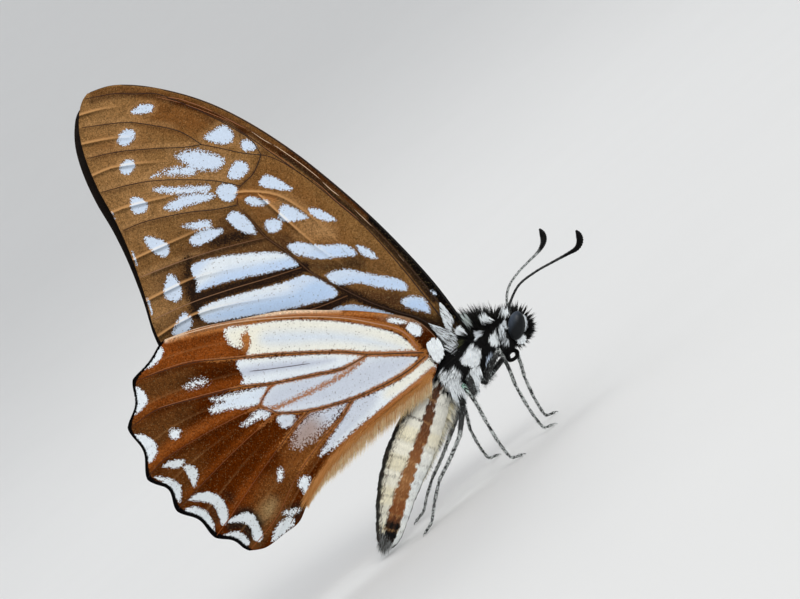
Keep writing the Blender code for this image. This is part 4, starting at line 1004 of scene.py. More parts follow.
def ropeMesh(name, lines, tones, side, sides=6):
    # Closed ropes that lie on a wing, through rows of (x, y, z, radius) in metres, coloured row by row
    points, colours, faces = [], [], []
    out = np.array([0.0, side, 0.0])
    turn = np.linspace(0, 2 * math.pi, sides, endpoint=False)
    for line, tone in zip(lines, tones):
        first = sum(len(p) for p in points)
        level = unit(np.cross(np.gradient(line[:, :3], axis=0), out))
        ring = np.cos(turn)[None, :, None] * level[:, None] + np.sin(turn)[None, :, None] * out
        points.append((line[:, None, :3] + ring * line[:, None, 3:]).reshape(-1, 3))
        colours.append(np.repeat(tone, sides, axis=0))
        for row in range(len(line) - 1):
            a, b = first + row * sides, first + (row + 1) * sides
            faces += [(a + k, a + (k + 1) % sides, b + (k + 1) % sides, b + k) for k in range(sides)]
        last = first + (len(line) - 1) * sides
        faces += [tuple(range(first, first + sides)), tuple(range(last, last + sides))]
    mesh = bpy.data.meshes.new(name)
    mesh.from_pydata(np.vstack(points).tolist(), [], faces)
    giveMarks(mesh, {"tone": np.vstack(colours)})
    closeUp(mesh)
    return mesh


def buildVeins(chart, side, finish):
    lines, tones = [], []
    wide, fine = chart["veinWidth"]

    def evenly(points):
        return alongLine(smoothLine(points, 6), np.linspace(0, 1, 8 + 8 * len(points)))

    def lay(line, radius, lift, first, last):
        # One rope on the outer face of the membrane
        placed = onWing(chart, side, line, chart["thickness"] / 2 + lift)
        lines.append(np.hstack([placed, radius[:, None] * mm]))
        share = np.linspace(0, 1, len(line))[:, None]
        tones.append(np.array(tint[first]) * (1 - share) + np.array(tint[last]) * share)

    for name, points in chart["veins"].items():
        line = evenly(points)
        margin = lineDistance(line, marginOf(chart))
        fromRoot = np.linalg.norm(line - np.array([-2.0, 0.0]), axis=1)
        radius = (fine + (wide - fine) * np.exp(-fromRoot / 9.0)) / 2
        radius = radius * (0.7 + 0.3 * ease(margin / 2.0))
        lay(line, radius, 0.04 - 0.3 * radius, *chart["veinColours"].get(name, chart["veinColours"][""]))
    for colour, width, points in chart["pens"]:
        line = evenly(points)
        ends = np.sqrt(ease(np.minimum(np.linspace(0, 8, len(line)), np.linspace(8, 0, len(line)))))
        lay(line, width / 2 * (0.3 + 0.7 * ends), 0.03, colour, colour)
    share = np.linspace(0, 1, 120)
    front = alongLine(smoothLine(chart["ahead"], 6), share * 0.992)
    atRoot, atTip = chart["frontRod"]
    radius = atRoot + (atTip - atRoot) * share
    front[:, 0] -= radius
    lay(front, radius, -chart["thickness"] / 2, *chart["frontColours"])
    name = chart["node"] + "_" + sideNames[side] + "_veins"
    dress(name, ropeMesh(name, lines, tones, side), [finish], chart["slot"])


def veinFinish(name):
    finish = Finish(name, 0.5, {"Specular IOR Level": 0.2})
    where = finish.place()
    grain = finish.noise(where, 0.25) * 0.5 + 0.75
    finish.paint(finish.shade(finish.attribute("tone", colour=True), grain))
    finish.raiseUp(finish.noise(where, 0.12, 1.0), 0.015, 0.4)
    return finish


wingVein = veinFinish("wingVein")
for chart in (foreChart, hindChart):
    buildWing(chart, wingOutside(chart["node"] + "Underside"), wingInside(chart["node"] + "Upperside"))
    for side in sideNames:
        buildVeins(chart, side, wingVein)
print("wings built")


# The body under its coat: one skin through head, thorax and abdomen. Stations run along the
# middle plane as (h, v, radius), each part with its width across as a share of its height.
bodyForm = {
    "thorax": [
        (3.7, -3.35, 0.7), (3.05, -3.25, 1.3), (2.1, -3.2, 1.95), (0.6, -3.3, 2.45), (-1.4, -3.5, 2.65),
        (-3.2, -3.8, 2.35), (-4.4, -4.1, 1.85), (-5.1, -4.35, 1.3),
    ],
    "thoraxWidth": 0.85,
    "neck": [(4.8, -4, 0.95), (3.8, -3.65, 1.05), (3, -3.3, 1.4)],
    "neckWidth": 0.9,
    "abdomen": [
        (-4, -4.1, 1.2), (-5.6, -4.65, 1.55), (-6.8, -5.2, 1.9), (-8.3, -5.95, 2.2), (-10.2, -6.95, 2.4),
        (-12.2, -8.05, 2.42), (-14.1, -9.25, 2.22), (-15.8, -10.5, 1.94), (-17.4, -11.9, 1.6),
        (-18.5, -12.85, 1.32), (-19.2, -13.35, 1.02), (-19.5, -13.55, 0.65),
    ],
    "abdomenWidth": 0.82,
    # Where the segments meet, as shares of the way to the tip
    "rings": [0.16, 0.29, 0.405, 0.52, 0.63, 0.735, 0.835, 0.92],
    "ringDepth": 0.045,
    "headCentre": (5, 0, -4.4),
    "headSemi": (1.22, 1.05, 1.32),
    "throat": [(5.2, -5.2, 0.5), (4.6, -5.2, 0.78), (3.9, -4.9, 0.9), (3, -4.95, 0.85), (2.2, -5.3, 0.5)],
    "throatWidth": 1,
    "voxel": 0.12,
    # Along h, where the abdomen's coat and the head's fur begin
    "abdomenFrom": -5.2,
    "headFrom": 3.8,
}
eyeForm = {"centre": (4.94, 1.14, -4.42), "semi": (1.5, 0.68, 0.9), "lean": 46.0}

# Marks on the body as the side view shows them, alike on both sides: colour, feather, patch
bodyPatches = [
    ("fleece", 0.06, [(2.3, -1.42), (2.63, -1.36), (2.98, -1.46), (3.2, -1.85), (3.36, -2.12), (3.34, -2.32),
        (3.1, -2.4), (2.68, -2.2), (2.42, -1.82), (2.2, -1.74)]),
    ("fleece", 0.06, [(4.5, -2.4), (4.83, -2.4), (5.2, -2.66), (5.16, -2.95), (4.72, -3), (4.42, -2.95),
        (4.36, -2.7)]),
    ("milk", 0.05, [(6.1, -3.9), (6.27, -4.2), (6.22, -4.7), (6.02, -5.2), (5.6, -5.47), (5.16, -5.52),
        (5.13, -5.3), (5.5, -5.08), (5.83, -4.66), (6, -4.22)]),
    ("fleece", 0.05, [(4.15, -5.52), (4.7, -5.45), (4.8, -5.8), (4.56, -6.2), (4.2, -6.15), (4.02, -5.82)]),
    ("milk", 0.05, [(4.35, -3.25), (4.25, -3.6), (3.8, -4.22), (3.55, -4.78), (3.38, -5.3), (2.6, -6),
        (2.4, -6), (2.52, -5.35), (2.72, -4.62), (2.83, -4.1), (3.12, -3.68), (3.62, -3.3)]),
    ("fleece", 0.05, [(1.69, -3.67), (2.05, -3.45), (2.57, -3.5), (2.81, -3.44), (2.72, -3.86),
        (2.54, -4.47), (2.24, -4.85), (1.78, -4.49), (1.52, -4.34), (1.66, -4.02)]),
    ("milk", 0.07, [(0.95, -2.08), (1.21, -2.23), (1.54, -2.36), (1.61, -2.67), (1.32, -2.88), (0.86, -2.82),
        (0.52, -2.86), (0.79, -2.45)]),
    ("fleece", 0.08, [(-1.94, -3.46), (-1.59, -3.24), (-1.07, -3.22), (-0.41, -2.87), (-0.09, -2.93),
        (0.06, -3.37), (0.28, -3.79), (0.13, -4.3), (-0.37, -4.77), (-0.79, -5.06), (-1.26, -4.87),
        (-1.78, -4.27), (-2.03, -3.95)]),
    ("fleece", 0.08, [(-2.25, -5.1), (-1.64, -4.96), (-1.08, -5.05), (-0.76, -5.33), (-1.08, -5.82),
        (-1.66, -6.23), (-2.13, -6.74), (-2.26, -7.38), (-2.84, -7.17), (-3.02, -6.77), (-2.81, -6.19),
        (-2.54, -5.54)]),
    ("fleece", 0.1, [(-4.44, -3.15), (-3.99, -3.13), (-3.76, -3.63), (-3.18, -3.53), (-2.86, -3.91),
        (-2.83, -4.81), (-3.3, -4.93), (-3.45, -5.43), (-3.91, -6.32), (-4.48, -7.35), (-4.82, -6.84),
        (-4.7, -6.06), (-4.92, -5.39), (-4.76, -4.89), (-4.9, -4.28), (-4.69, -3.7)]),
    ("fleece", 0.05, [(-0.47, -0.82), (0, -0.7), (0.25, -0.78), (0.26, -1.16), (0.18, -1.65),
        (-0.13, -1.41), (-0.51, -1.42), (-0.51, -1.11)]),
    ("silver", 0.08, [(1.01, -0.14), (1.45, -0.36), (1.51, -0.91), (1.07, -1.31), (0.78, -1.2),
        (0.83, -0.68)]),
    ("ice", 0.06, [(0.1, -5.27), (0.62, -4.93), (0.96, -4.89), (1.06, -5.16), (0.64, -5.45), (0.05, -5.73),
        (-0.35, -5.91), (-0.22, -5.51)]),
    ("glint", 0.15, [(-1.29, -1.92), (-0.81, -1.8), (-0.51, -2.04), (-0.89, -2.36), (-1.18, -2.26)]),
]
abdomenMarks = {
    # Rust stripe: share of the way to the tip, its middle and half width as shares of the radius
    "stripe": [(0, 0.2, 0.2), (0.15, 0.1, 0.21), (0.24, -0.05, 0.23), (0.32, -0.15, 0.23),
        (0.55, -0.17, 0.25), (0.75, -0.15, 0.39), (0.88, -0.05, 0.5), (1, 0.05, 0.55)],
    # Black back and dark belly: height as a share of the radius, and feather
    "back": (0.86, 0.1),
    "belly": (-0.95, 0.08),
}


def rod(stations, perSpan=4):
    # A smooth run of (h, y, v, radius) in millimetres as rows for tubeMesh
    return placeRods(smoothLine(stations, perSpan))


def buildSkin(finish):
    bm = bmesh.new()
    for part in ("thorax", "neck", "throat", "abdomen"):
        line = rod([(h, 0.0, v, r) for h, v, r in bodyForm[part]], 12)
        if part == "abdomen":
            run = np.linspace(0, 1, len(line))
            for ring in bodyForm["rings"]:
                line[:, 3] *= 1 - bodyForm["ringDepth"] * np.exp(-((run - ring) / 0.012) ** 2)
        mesh = tubeMesh(part, [line], 8)
        points = readPoints(mesh)
        points[:, 1] *= bodyForm[part + "Width"]
        mesh.vertices.foreach_set("co", points.astype(np.float32).ravel())
        bm.from_mesh(mesh)
        bpy.data.meshes.remove(mesh)
    size = Matrix.Diagonal((*(s * mm for s in bodyForm["headSemi"]), 1.0))
    middle = Matrix.Translation(place(*bodyForm["headCentre"]))
    bmesh.ops.create_uvsphere(bm, u_segments=32, v_segments=20, radius=1.0, matrix=middle @ size)
    shape = show("body_shape", meshOf(bm, "body_shape"), [])
    remesh = shape.modifiers.new("one skin", "REMESH")
    remesh.mode = "VOXEL"
    remesh.voxel_size = bodyForm["voxel"] * mm
    soften = shape.modifiers.new("soften", "SMOOTH")
    soften.factor = 0.5
    soften.iterations = 6
    mesh = taken(shape)
    mesh.name = "body_skin"
    giveMarks(mesh, {"tone": bodyColour(unplace(readPoints(mesh)))})
    mesh.shade_smooth()
    return dress("body_skin", mesh, [finish], "body_fur", "head", "thorax", "abdomen")


def alongBody(points, stations):
    # Share of the way along the stations' line, and height off it as a share of the radius there
    line = smoothLine(stations, 6)
    steps = np.linalg.norm(np.diff(line[:, :2], axis=0), axis=1)
    run = np.concatenate([[0.0], np.cumsum(steps)]) / steps.sum()
    flat = points[:, [0, 2]]
    best = np.full(len(points), 1e9)
    share = np.zeros(len(points))
    rise = np.zeros(len(points))
    for i, (a, b) in enumerate(zip(line[:-1], line[1:])):
        t, off = towards(flat, a[:2], b[:2])
        gap = np.linalg.norm(off, axis=1)
        near = gap < best
        best = np.where(near, gap, best)
        share = np.where(near, run[i] + (run[i + 1] - run[i]) * t, share)
        up = np.array([b[1] - a[1], a[0] - b[0]]) / np.linalg.norm(b[:2] - a[:2])
        up = up if up[1] > 0 else -up
        radius = a[2] + (b[2] - a[2]) * t
        rise = np.where(near, off @ up / np.maximum(radius, 0.2), rise)
    return share, rise


def abdomenColour(points, wobble, speck):
    h, y, v = points.T
    share, rise = alongBody(points, bodyForm["abdomen"])
    coat = copies(tint["cream"], len(points))
    paintOver(coat, "straw", ease(0.5 + 1.2 * np.sin(h * 2.3 + rise * 3)) * 0.4 * ease((share - 0.2) / 0.15))
    paintOver(coat, "mist", 0.25 * ease((0.4 - share) / 0.2))

    # The stripe grows wider from the front of each segment to its back
    stops = np.array(abdomenMarks["stripe"])
    middle = np.interp(share, stops[:, 0], stops[:, 1])
    seams = np.array([0.0, *bodyForm["rings"], 1.0])
    part = np.clip(np.searchsorted(seams, share) - 1, 0, len(seams) - 2)
    part = (share - seams[part]) / (seams[part + 1] - seams[part])
    half = np.interp(share, stops[:, 0], stops[:, 2]) + 0.08 * (part - 0.6) + 0.05 * speck
    below = ease((middle - half - rise) / 0.06 + 0.5)
    paintOver(coat, "fleece", 0.75 * below * ease((share - 0.3) / 0.3))
    stripe = ease((half - np.abs(rise - middle + 0.3 * wobble)) / 0.08 + 0.5)
    paintOver(coat, "rustHair", stripe)
    paintOver(coat, "crest", 0.4 * stripe * ease((np.sin(h * 19.0 + 6.0 * np.sin(v * 29.0)) - 0.7) / 0.2))
    paintOver(coat, "soil", stripe * (0.75 * ease((0.62 - share) / 0.5) + 0.25 * ease((speck - 0.3) / 0.3)))
    paintOver(coat, "crest", 0.3 * stripe * np.exp(-((share - 0.6) / 0.12) ** 2))
    paintOver(coat, "soil", 0.7 * stripe * ease((share - 0.83 + 0.1 * wobble) / 0.03))
    paintOver(coat, "black", stripe * ease((share - 0.86 + 0.1 * wobble) / 0.05))
    edge = np.exp(-((rise - middle - half) / 0.05) ** 2)
    paintOver(coat, "soil", 0.5 * edge * ease((speck + 0.4) / 0.4))

    # Back, belly, seams and tip
    height, feather = abdomenMarks["back"]
    paintOver(coat, "umber", 0.7 * ease((rise - height + 0.22) / 0.1) * ease((speck + 0.1) / 0.3))
    paintOver(coat, "black", 0.95 * ease((rise - height - 0.25 * wobble) / feather + 0.5))
    height, feather = abdomenMarks["belly"]
    paintOver(coat, "soot", 0.9 * ease((height - rise) / feather + 0.5) * ease((-9.5 - h) / 2.0))
    for i, ring in enumerate(bodyForm["rings"]):
        line = np.exp(-((share - ring) / 0.006) ** 2)
        # The second seam is the dark one
        dark = 0.95 * ease((rise + 0.3) / 0.1) if i == 1 else 0.45 * ease((speck + 0.5) / 0.4)
        paintOver(coat, "soil", dark * line * (1 - stripe))
        paintOver(coat, "crest", 0.4 * stripe * line)
    paintOver(coat, "soot", 0.9 * ease((share - 0.955) / 0.02) * (1 - below))
    return coat


def bodyColour(points):
    # The colour of skin and coat at places (h, y, v)
    h, y, v = points.T
    wobble = 0.12 * np.sin(h * 5.1 + v * 3.7) + 0.08 * np.sin(v * 9.3 - h * 6.1)
    speck = np.sin(h * 31.0 + 9.0 * np.sin(v * 17.0)) * np.sin(v * 37.0 + 7.0 * np.sin(h * 23.0))
    flat = points[:, [0, 2]] + 0.05 * np.stack([np.sin(v * 13.0), np.sin(h * 11.0)], axis=1)
    colour = copies(tint["black"], len(points))
    # The marks stop short of the middle of the back
    onSide = ease((np.abs(y) - np.where(h > 3.9, 0.3, 0.9)) / 0.2)
    for name, feather, patch in bodyPatches:
        distance = insideDistance(flat, smoothLine(patch, 3, closed=True))
        paintOver(colour, name, inside(distance, feather) * onSide)
    specked = ease((-2.6 - h) / 0.6) * ease((v + 5.4) / 0.8) * ease((speck - 0.35) / 0.2)
    paintOver(colour, "black", specked)
    onAbdomen = ease((bodyForm["abdomenFrom"] - h + 3 * wobble) / 0.8 + 0.5)
    return colour + (abdomenColour(points, wobble, speck) - colour) * onAbdomen[:, None]


def paleness(colour):
    # 1 for the white marks, 0 for black
    return ease((colour.mean(axis=1) - 0.08) / 0.3)


def scatter(mesh, count, seed):
    # Random places on the mesh, spread by area: points and normals, both in world axes
    dice = np.random.default_rng(seed)
    mesh.calc_loop_triangles()
    corners = np.zeros(len(mesh.loop_triangles) * 3, np.int32)
    mesh.loop_triangles.foreach_get("vertices", corners)
    corners = readPoints(mesh)[corners].reshape(-1, 3, 3)
    across = np.cross(corners[:, 1] - corners[:, 0], corners[:, 2] - corners[:, 0])
    area = np.linalg.norm(across, axis=1)
    chosen = dice.choice(len(area), count, p=area / area.sum())
    a, b = np.sqrt(dice.random(count)), dice.random(count)
    weights = np.stack([1 - a, a * (1 - b), a * b], axis=1)
    points = (corners[chosen] * weights[:, :, None]).sum(axis=1)
    return points, across[chosen] / area[chosen][:, None]


def hairMesh(name, roots, lie, out, length, width, colour, tipColour, bend, unwrap):
    # One tapered, bent blade of three sides for each root, its broad side turned out. Lengths are in
    # millimetres.
    count = len(roots)
    length = (length * mm)[:, None]
    width = (width * mm)[:, None]
    across = unit(np.cross(lie, out + 0.01))
    up = np.cross(across, lie)
    middle = roots + lie * length * 0.52 + bend * length * 0.16
    points = np.zeros((count, 7, 3))
    for k, reach in enumerate((across * 0.5 + up * 0.12, -up * 0.3, -across * 0.5 + up * 0.12)):
        points[:, k] = roots - lie * length * 0.06 + reach * width
        points[:, 3 + k] = middle + reach * width * 0.8
    points[:, 6] = roots + lie * length + bend * length * 0.55
    pattern = []
    for k in range(3):
        n = (k + 1) % 3
        pattern += [(k, n, 3 + n), (k, 3 + n, 3 + k), (3 + k, 3 + n, 6)]
    pattern = np.array(pattern)
    faces = (np.arange(count)[:, None, None] * 7 + pattern[None]).reshape(-1)
    mesh = bpy.data.meshes.new(name)
    mesh.vertices.add(count * 7)
    mesh.vertices.foreach_set("co", points.astype(np.float32).ravel())
    mesh.loops.add(len(faces))
    mesh.loops.foreach_set("vertex_index", faces.astype(np.int32))
    mesh.polygons.add(len(faces) // 3)
    mesh.polygons.foreach_set("loop_start", np.arange(0, len(faces), 3, dtype=np.int32))
    mesh.update(calc_edges=True)
    tones = np.zeros((count, 7, 3))
    # The root of each hair is painted a little darker, a painted shade deep in the coat
    tones[:, :3] = (colour * 0.93)[:, None]
    tones[:, 3:6] = colour[:, None]
    tones[:, 6] = tipColour
    giveMarks(mesh, {"tone": tones.reshape(-1, 3)})
    patch = np.array([(-1, -1), (1, -1), (0, -0.6), (-0.7, 0.2), (0.7, 0.2), (0, 0.4), (0, 1)]) * 0.0015
    spots = (unwrap[:, None] + patch[None]).reshape(-1, 2)
    mesh.uv_layers.new(name="OFBake").data.foreach_set("uv", spots[faces].astype(np.float32).ravel())
    mesh.shade_smooth()
    # Hair is lit as the surface that it lies on
    mesh.normals_split_custom_set_from_vertices(np.repeat(unit(out + 0.6 * up), 7, axis=0))
    return mesh


def bodyUnwrap(points):
    # Round the body and along it, each between 0 and 1
    share = np.clip((6.5 - points[:, 0]) / 27.0, 0.01, 0.99)
    axis = np.interp(-points[:, 0], [-4.7, 1.4, 5.6, 12.2, 19.5], [-4.2, -3.5, -4.6, -7.9, -13.9])
    turn = np.arctan2(points[:, 1], points[:, 2] - axis)
    return np.stack([np.clip(0.5 + turn / (2 * math.pi), 0.01, 0.99), share], axis=1)


def sideUnwrap(places, h, v, size):
    # The side view as a square of this size, which reaches back to -h and down to -v
    return np.clip((places[:, [0, 2]] + np.array([h, v])) / size, 0.01, 0.99)


def furFinish(name, roughness, sheen):
    settings = {"Specular IOR Level": 0.12, "Sheen Weight": sheen, "Sheen Roughness": 0.4}
    finish = Finish(name, roughness, settings)
    grain = finish.noise(finish.place(), 0.15) * 0.3 + 0.85
    finish.paint(finish.shade(finish.attribute("tone", colour=True), grain))
    return finish


def eyeReach(points):
    # 1 on the surface of the nearer eye, more outside it
    h, y, v = eyeForm["centre"]
    turn = math.radians(eyeForm["lean"])
    c, s = math.cos(turn), math.sin(turn)
    ahead, up = points[:, 0] - h, points[:, 2] - v
    own = np.stack([ahead * c + up * s, np.abs(points[:, 1]) - y, up * c - ahead * s], axis=1)
    return np.linalg.norm(own / np.array(eyeForm["semi"]), axis=1)


# The coat of the body: how many hairs are tried, the share that stays, and sizes in millimetres
coat = {
    "tried": 110000,
    "stays": {"thorax": 0.56, "head": 0.9, "abdomen": 0.24},
    "length": {"thorax": 0.72, "head": 0.76, "abdomen": 0.42, "byEye": 0.28},
    "width": {"thorax": 0.055, "abdomen": 0.12},
    "flow": {"thorax": (-0.8, 0.0, -0.55), "head": (0.35, 0.0, 0.3), "abdomen": (-0.86, 0.0, -0.5)},
    # Dark hair draws together into points that stand this far apart
    "tufts": 0.3,
}


def coatBody(skin, finish):
    dice = np.random.default_rng(11)
    roots, normals = scatter(skin.data, coat["tried"], 5)
    places = unplace(roots)
    stays = coat["stays"]
    chance = np.where(places[:, 0] > bodyForm["headFrom"], stays["head"], stays["thorax"])
    chance = np.where(places[:, 0] < bodyForm["abdomenFrom"], stays["abdomen"], chance)
    keep = (dice.random(len(roots)) < chance) & (eyeReach(places) > 0.98)
    roots, normals, places = roots[keep], normals[keep], places[keep]
    h, y, v = places.T
    onAbdomen = h < bodyForm["abdomenFrom"]
    onHead = h > bodyForm["headFrom"]
    count = len(roots)

    # How the hair lies: backwards and down, but up and forwards over the shoulders
    upFront = ease((h + 1.0) / 1.5) * ease((v + 3.2) / 1.2)
    flow = copies(coat["flow"]["thorax"], count)
    flow[:, 2] += np.where(v > -3.2, 0.25, 0.0)
    flow = np.where(onAbdomen[:, None], np.array(coat["flow"]["abdomen"]), flow)
    flow += upFront[:, None] * np.array([0.4, 0.0, 0.9])
    flow = np.where(onHead[:, None], np.array(coat["flow"]["head"]), flow)
    white = paleness(bodyColour(places))
    lean = np.where(onAbdomen, 0.93, 0.6 + 0.24 * white - 0.4 * upFront * (1 - white))
    lean = np.where(onHead, 0.14 + 0.6 * white, lean)
    jitter = dice.normal(size=(count, 3)) * np.where(onAbdomen, 0.07, 0.04 + 0.08 * white)[:, None]
    lie = unit(normals * (1 - lean)[:, None] + unit(flow) * lean[:, None] + jitter)

    most = coat["length"]
    length = most["thorax"] + upFront * (0.34 - 0.14 * white) - 0.26 * white
    length = np.where(onAbdomen, most["abdomen"], length)
    length = np.where(onHead, most["head"] - 0.42 * white, length)
    length = length * (1 - 0.5 * ease((v + 1.4) / 1.0) * ease((1.0 - h) / 1.0))
    length = np.where(eyeReach(places) < 1.3, most["byEye"], length)
    longer = (dice.random(count) < 0.2) & (upFront + onHead > 0.3) & (white < 0.3)
    length = length * dice.uniform(0.65, 1.1, count) * np.where(longer, 1.6, 1.0)

    heart = (np.floor(places / coat["tufts"]) + 0.5) * coat["tufts"] - places
    lie += heart * (np.where(onAbdomen, 0.0, 1.0 - 0.85 * white) / length)[:, None]
    lie = unit(lie)
    inward = (lie * normals).sum(axis=1)
    lie = unit(lie + normals * np.maximum(0, np.where(onAbdomen, 0.07, 0.16) - inward)[:, None])

    # A hair has the colour of the body under its middle
    middle = places + lie * (np.where(onAbdomen, 0.5, 0.5 + 0.15 * upFront) * length)[:, None]
    colour = bodyColour(middle)
    white = paleness(colour)
    width = np.where(onAbdomen, coat["width"]["abdomen"], coat["width"]["thorax"] + 0.035 * white)
    width = width * dice.uniform(0.8, 1.2, count) * (1 + 0.5 * longer)
    shade = dice.uniform(0.9, 1.1, count)[:, None]
    glint = (dice.random(count) < 0.2) & (upFront + onHead > 0.4) & (white < 0.2) & ~longer
    tips = np.where(glint[:, None], np.array(tint["glint"]), colour)

    # The pale floor lights the underside, and pale hair lies with its broad side out
    facing = normals.copy()
    facing[:, 2] = np.where(facing[:, 2] < 0, facing[:, 2] * 0.3, facing[:, 2])
    facing[:, 1] += np.sign(places[:, 1]) * np.where(onAbdomen, 0.5, 1.4 * white)
    rows = (
        roots, lie, unit(facing), length, width, colour * shade, tips * shade, unit(flow) * 0.25,
        bodyUnwrap(places),
    )
    for name, slotName, chosen in (
        ("thorax_fur", "body_fur", ~onAbdomen & ~onHead & (white < 0.5)),
        ("thorax_patches", "body_fur", ~onAbdomen & ~onHead & (white >= 0.5)),
        ("head_fur", "body_fur", onHead),
        ("abdomen_coat", "abdomen_coat", onAbdomen),
    ):
        dress(name, hairMesh(name, *(row[chosen] for row in rows)), [finish], slotName)
        print(name, int(chosen.sum()), "hairs")


# Loose hair: where it grows, as a line with a spread or as a patch of the side view, how far out, the
# lie, the least and greatest length, the width, the colours of root and tip, the count, the share of
# dark hairs, and where along h it grows short and over what length
hairPatches = {
    "hindwing_fringe": {
        "slot": "hindwing",
        "line": [
            (-5.4, -3), (-7, -2.9), (-10, -2.85), (-15, -3), (-18.6, -3.5), (-21, -4.1), (-23.4, -5.1),
        ],
        "spread": 0.12, "out": 2.36, "lie": (-0.66, 0, -0.75), "fan": 0.1, "length": (0.8, 2),
        "width": 0.035, "colours": ("amber", "straw"), "count": 3400, "shorten": (-16, 8),
    },
    "inner_margin_hair": {
        "slot": "hindwing",
        "line": [
            (-5.2, -2.75), (-8, -2.62), (-12, -2.62), (-15, -2.72), (-18.6, -3.15), (-22, -4.2),
            (-23.1, -4.65),
        ],
        "spread": 0.3, "out": 2.47, "lie": (-0.93, 0, -0.3), "fan": 0.1, "length": (0.6, 1.3),
        "width": 0.045, "colours": ("amber", "gold"), "count": 1700,
    },
    "forewing_root_hair": {
        "slot": "forewing",
        "patch": [
            (0.06, 2.43), (0.21, 1.99), (0.15, 1.29), (0.09, 0.59), (-0.29, 0.27), (-0.77, -0.09),
            (-1.05, -0.37), (-1.09, 0.04), (-0.88, 0.62), (-0.73, 1.12), (-0.42, 1.75),
        ],
        "out": 1.6, "lie": (0.15, 0, -0.95), "fan": 0.12, "length": (0.35, 0.6), "width": 0.07,
        "colours": ("fleece", "milk"), "count": 480, "dark": 0.1,
    },
    "wing_root_hair": {
        "slot": "forewing",
        "patch": [
            (-2.24, 1.58), (-1.73, 0.8), (-1.26, 0.3), (-1.03, -0.51), (-0.97, -1.05), (-1.58, -1.82),
            (-2.09, -2.15), (-2.63, -1.73), (-2.29, -1), (-2.3, -0.37), (-2.24, 0.33),
        ],
        "out": 2.05, "lie": (0.45, 0, -0.85), "fan": 0.14, "length": (0.5, 0.9), "width": 0.05,
        "colours": ("milk", "fleece"), "count": 600, "dark": 0.28,
    },
    "hindwing_root_hair": {
        "slot": "hindwing",
        "patch": [
            (-3.75, 0), (-3.35, 0.24), (-2.76, 0.3), (-2.5, -0.1), (-2.48, -0.8), (-2.7, -1.4),
            (-3.1, -1.8), (-3.8, -1.9), (-4, -1.5), (-3.95, -0.85), (-3.85, -0.2),
        ],
        "out": 2.5, "lie": (-0.3, 0, -0.6), "fan": 0.08, "length": (0.3, 0.5), "width": 0.1,
        "colours": ("fleece", "fleece"), "count": 1100,
    },
    "shoulder_hair": {
        "slot": "body_fur",
        "patch": [
            (-4.3, -4.6), (-3.1, -4.3), (-3.2, -5.4), (-3.7, -6.5), (-4.5, -7.2), (-4.8, -6.4),
            (-4.8, -5.4),
        ],
        "out": 1.75, "lie": (-0.35, 0, -0.9), "fan": 0.12, "length": (0.6, 1), "width": 0.055,
        "colours": ("fleece", "milk"), "count": 300,
    },
    "tegula_hair": {
        "slot": "forewing",
        "patch": [
            (-0.42, -0.85), (-0.1, -0.84), (0.16, -0.66), (0.12, -0.98), (0.22, -1.3), (-0.1, -1.2),
            (-0.34, -1.3),
        ],
        "out": 1.85, "lie": (-0.1, 0, -0.2), "fan": 0.5, "length": (0.2, 0.36), "width": 0.08,
        "colours": ("fleece", "fleece"), "count": 420,
    },
    "cheek_hair": {
        "slot": "body_fur",
        "patch": [(4.15, -5.5), (4.7, -5.45), (4.85, -5.8), (4.6, -6.1), (4.2, -6.05), (4.05, -5.8)],
        "out": 0.95, "lie": (0.2, 0, -0.3), "fan": 0.3, "length": (0.25, 0.4), "width": 0.09,
        "colours": ("fleece", "fleece"), "count": 280,
    },
    "coxa_hair": {
        "slot": "leg",
        "patch": [
            (-2.1, -5.2), (-1.6, -5.05), (-1.08, -5.15), (-0.86, -5.4), (-1.15, -5.8), (-1.66, -6.15),
            (-2.1, -6.6), (-2.3, -7), (-2.8, -6.9), (-2.9, -6.6), (-2.7, -6.1), (-2.4, -5.6),
        ],
        "out": 1.85, "lie": (-0.35, 0, -0.9), "fan": 0.14, "length": (0.4, 0.65), "width": 0.07,
        "colours": ("fleece", "milk"), "count": 480, "dark": 0.05,
    },
    "belly_hair": {
        "slot": "abdomen_coat",
        "line": [(-4.8, -6.1), (-6.3, -7.15), (-8.3, -8.2), (-10.6, -9.35), (-12.8, -10.5)],
        "spread": 0.3, "out": 0.5, "lie": (0.1, 0, -1), "fan": 0.16, "length": (0.5, 1),
        "width": 0.04, "colours": ("straw", "fleece"), "count": 900, "dark": 0.3, "shorten": (-9, 7),
    },
    "tail_tuft": {
        "slot": "abdomen_coat",
        "patch": [
            (-17.8, -10.9), (-18.8, -11.8), (-19.6, -12.7), (-19.8, -13.4), (-19.1, -13.6), (-18.4, -12.8),
        ],
        "out": 0.75, "lie": (-0.75, 0, -0.6), "fan": 0.16, "length": (0.7, 1.45), "width": 0.04,
        "colours": ("black", "ash"), "count": 620, "dark": 0.4,
    },
}


def hairPlaces(form, dice):
    # Points of the side view on the patch, or about the line
    count = form["count"]
    if "line" in form:
        flat = alongLine(smoothLine(form["line"], 6), dice.random(count))
        return flat + dice.normal(size=flat.shape) * form["spread"] * 0.5
    outline = smoothLine(form["patch"], 4, closed=True)
    low, high = outline.min(axis=0), outline.max(axis=0)
    flat = low + dice.random((count * 3, 2)) * (high - low)
    return flat[insideDistance(flat, outline) > 0][:count]


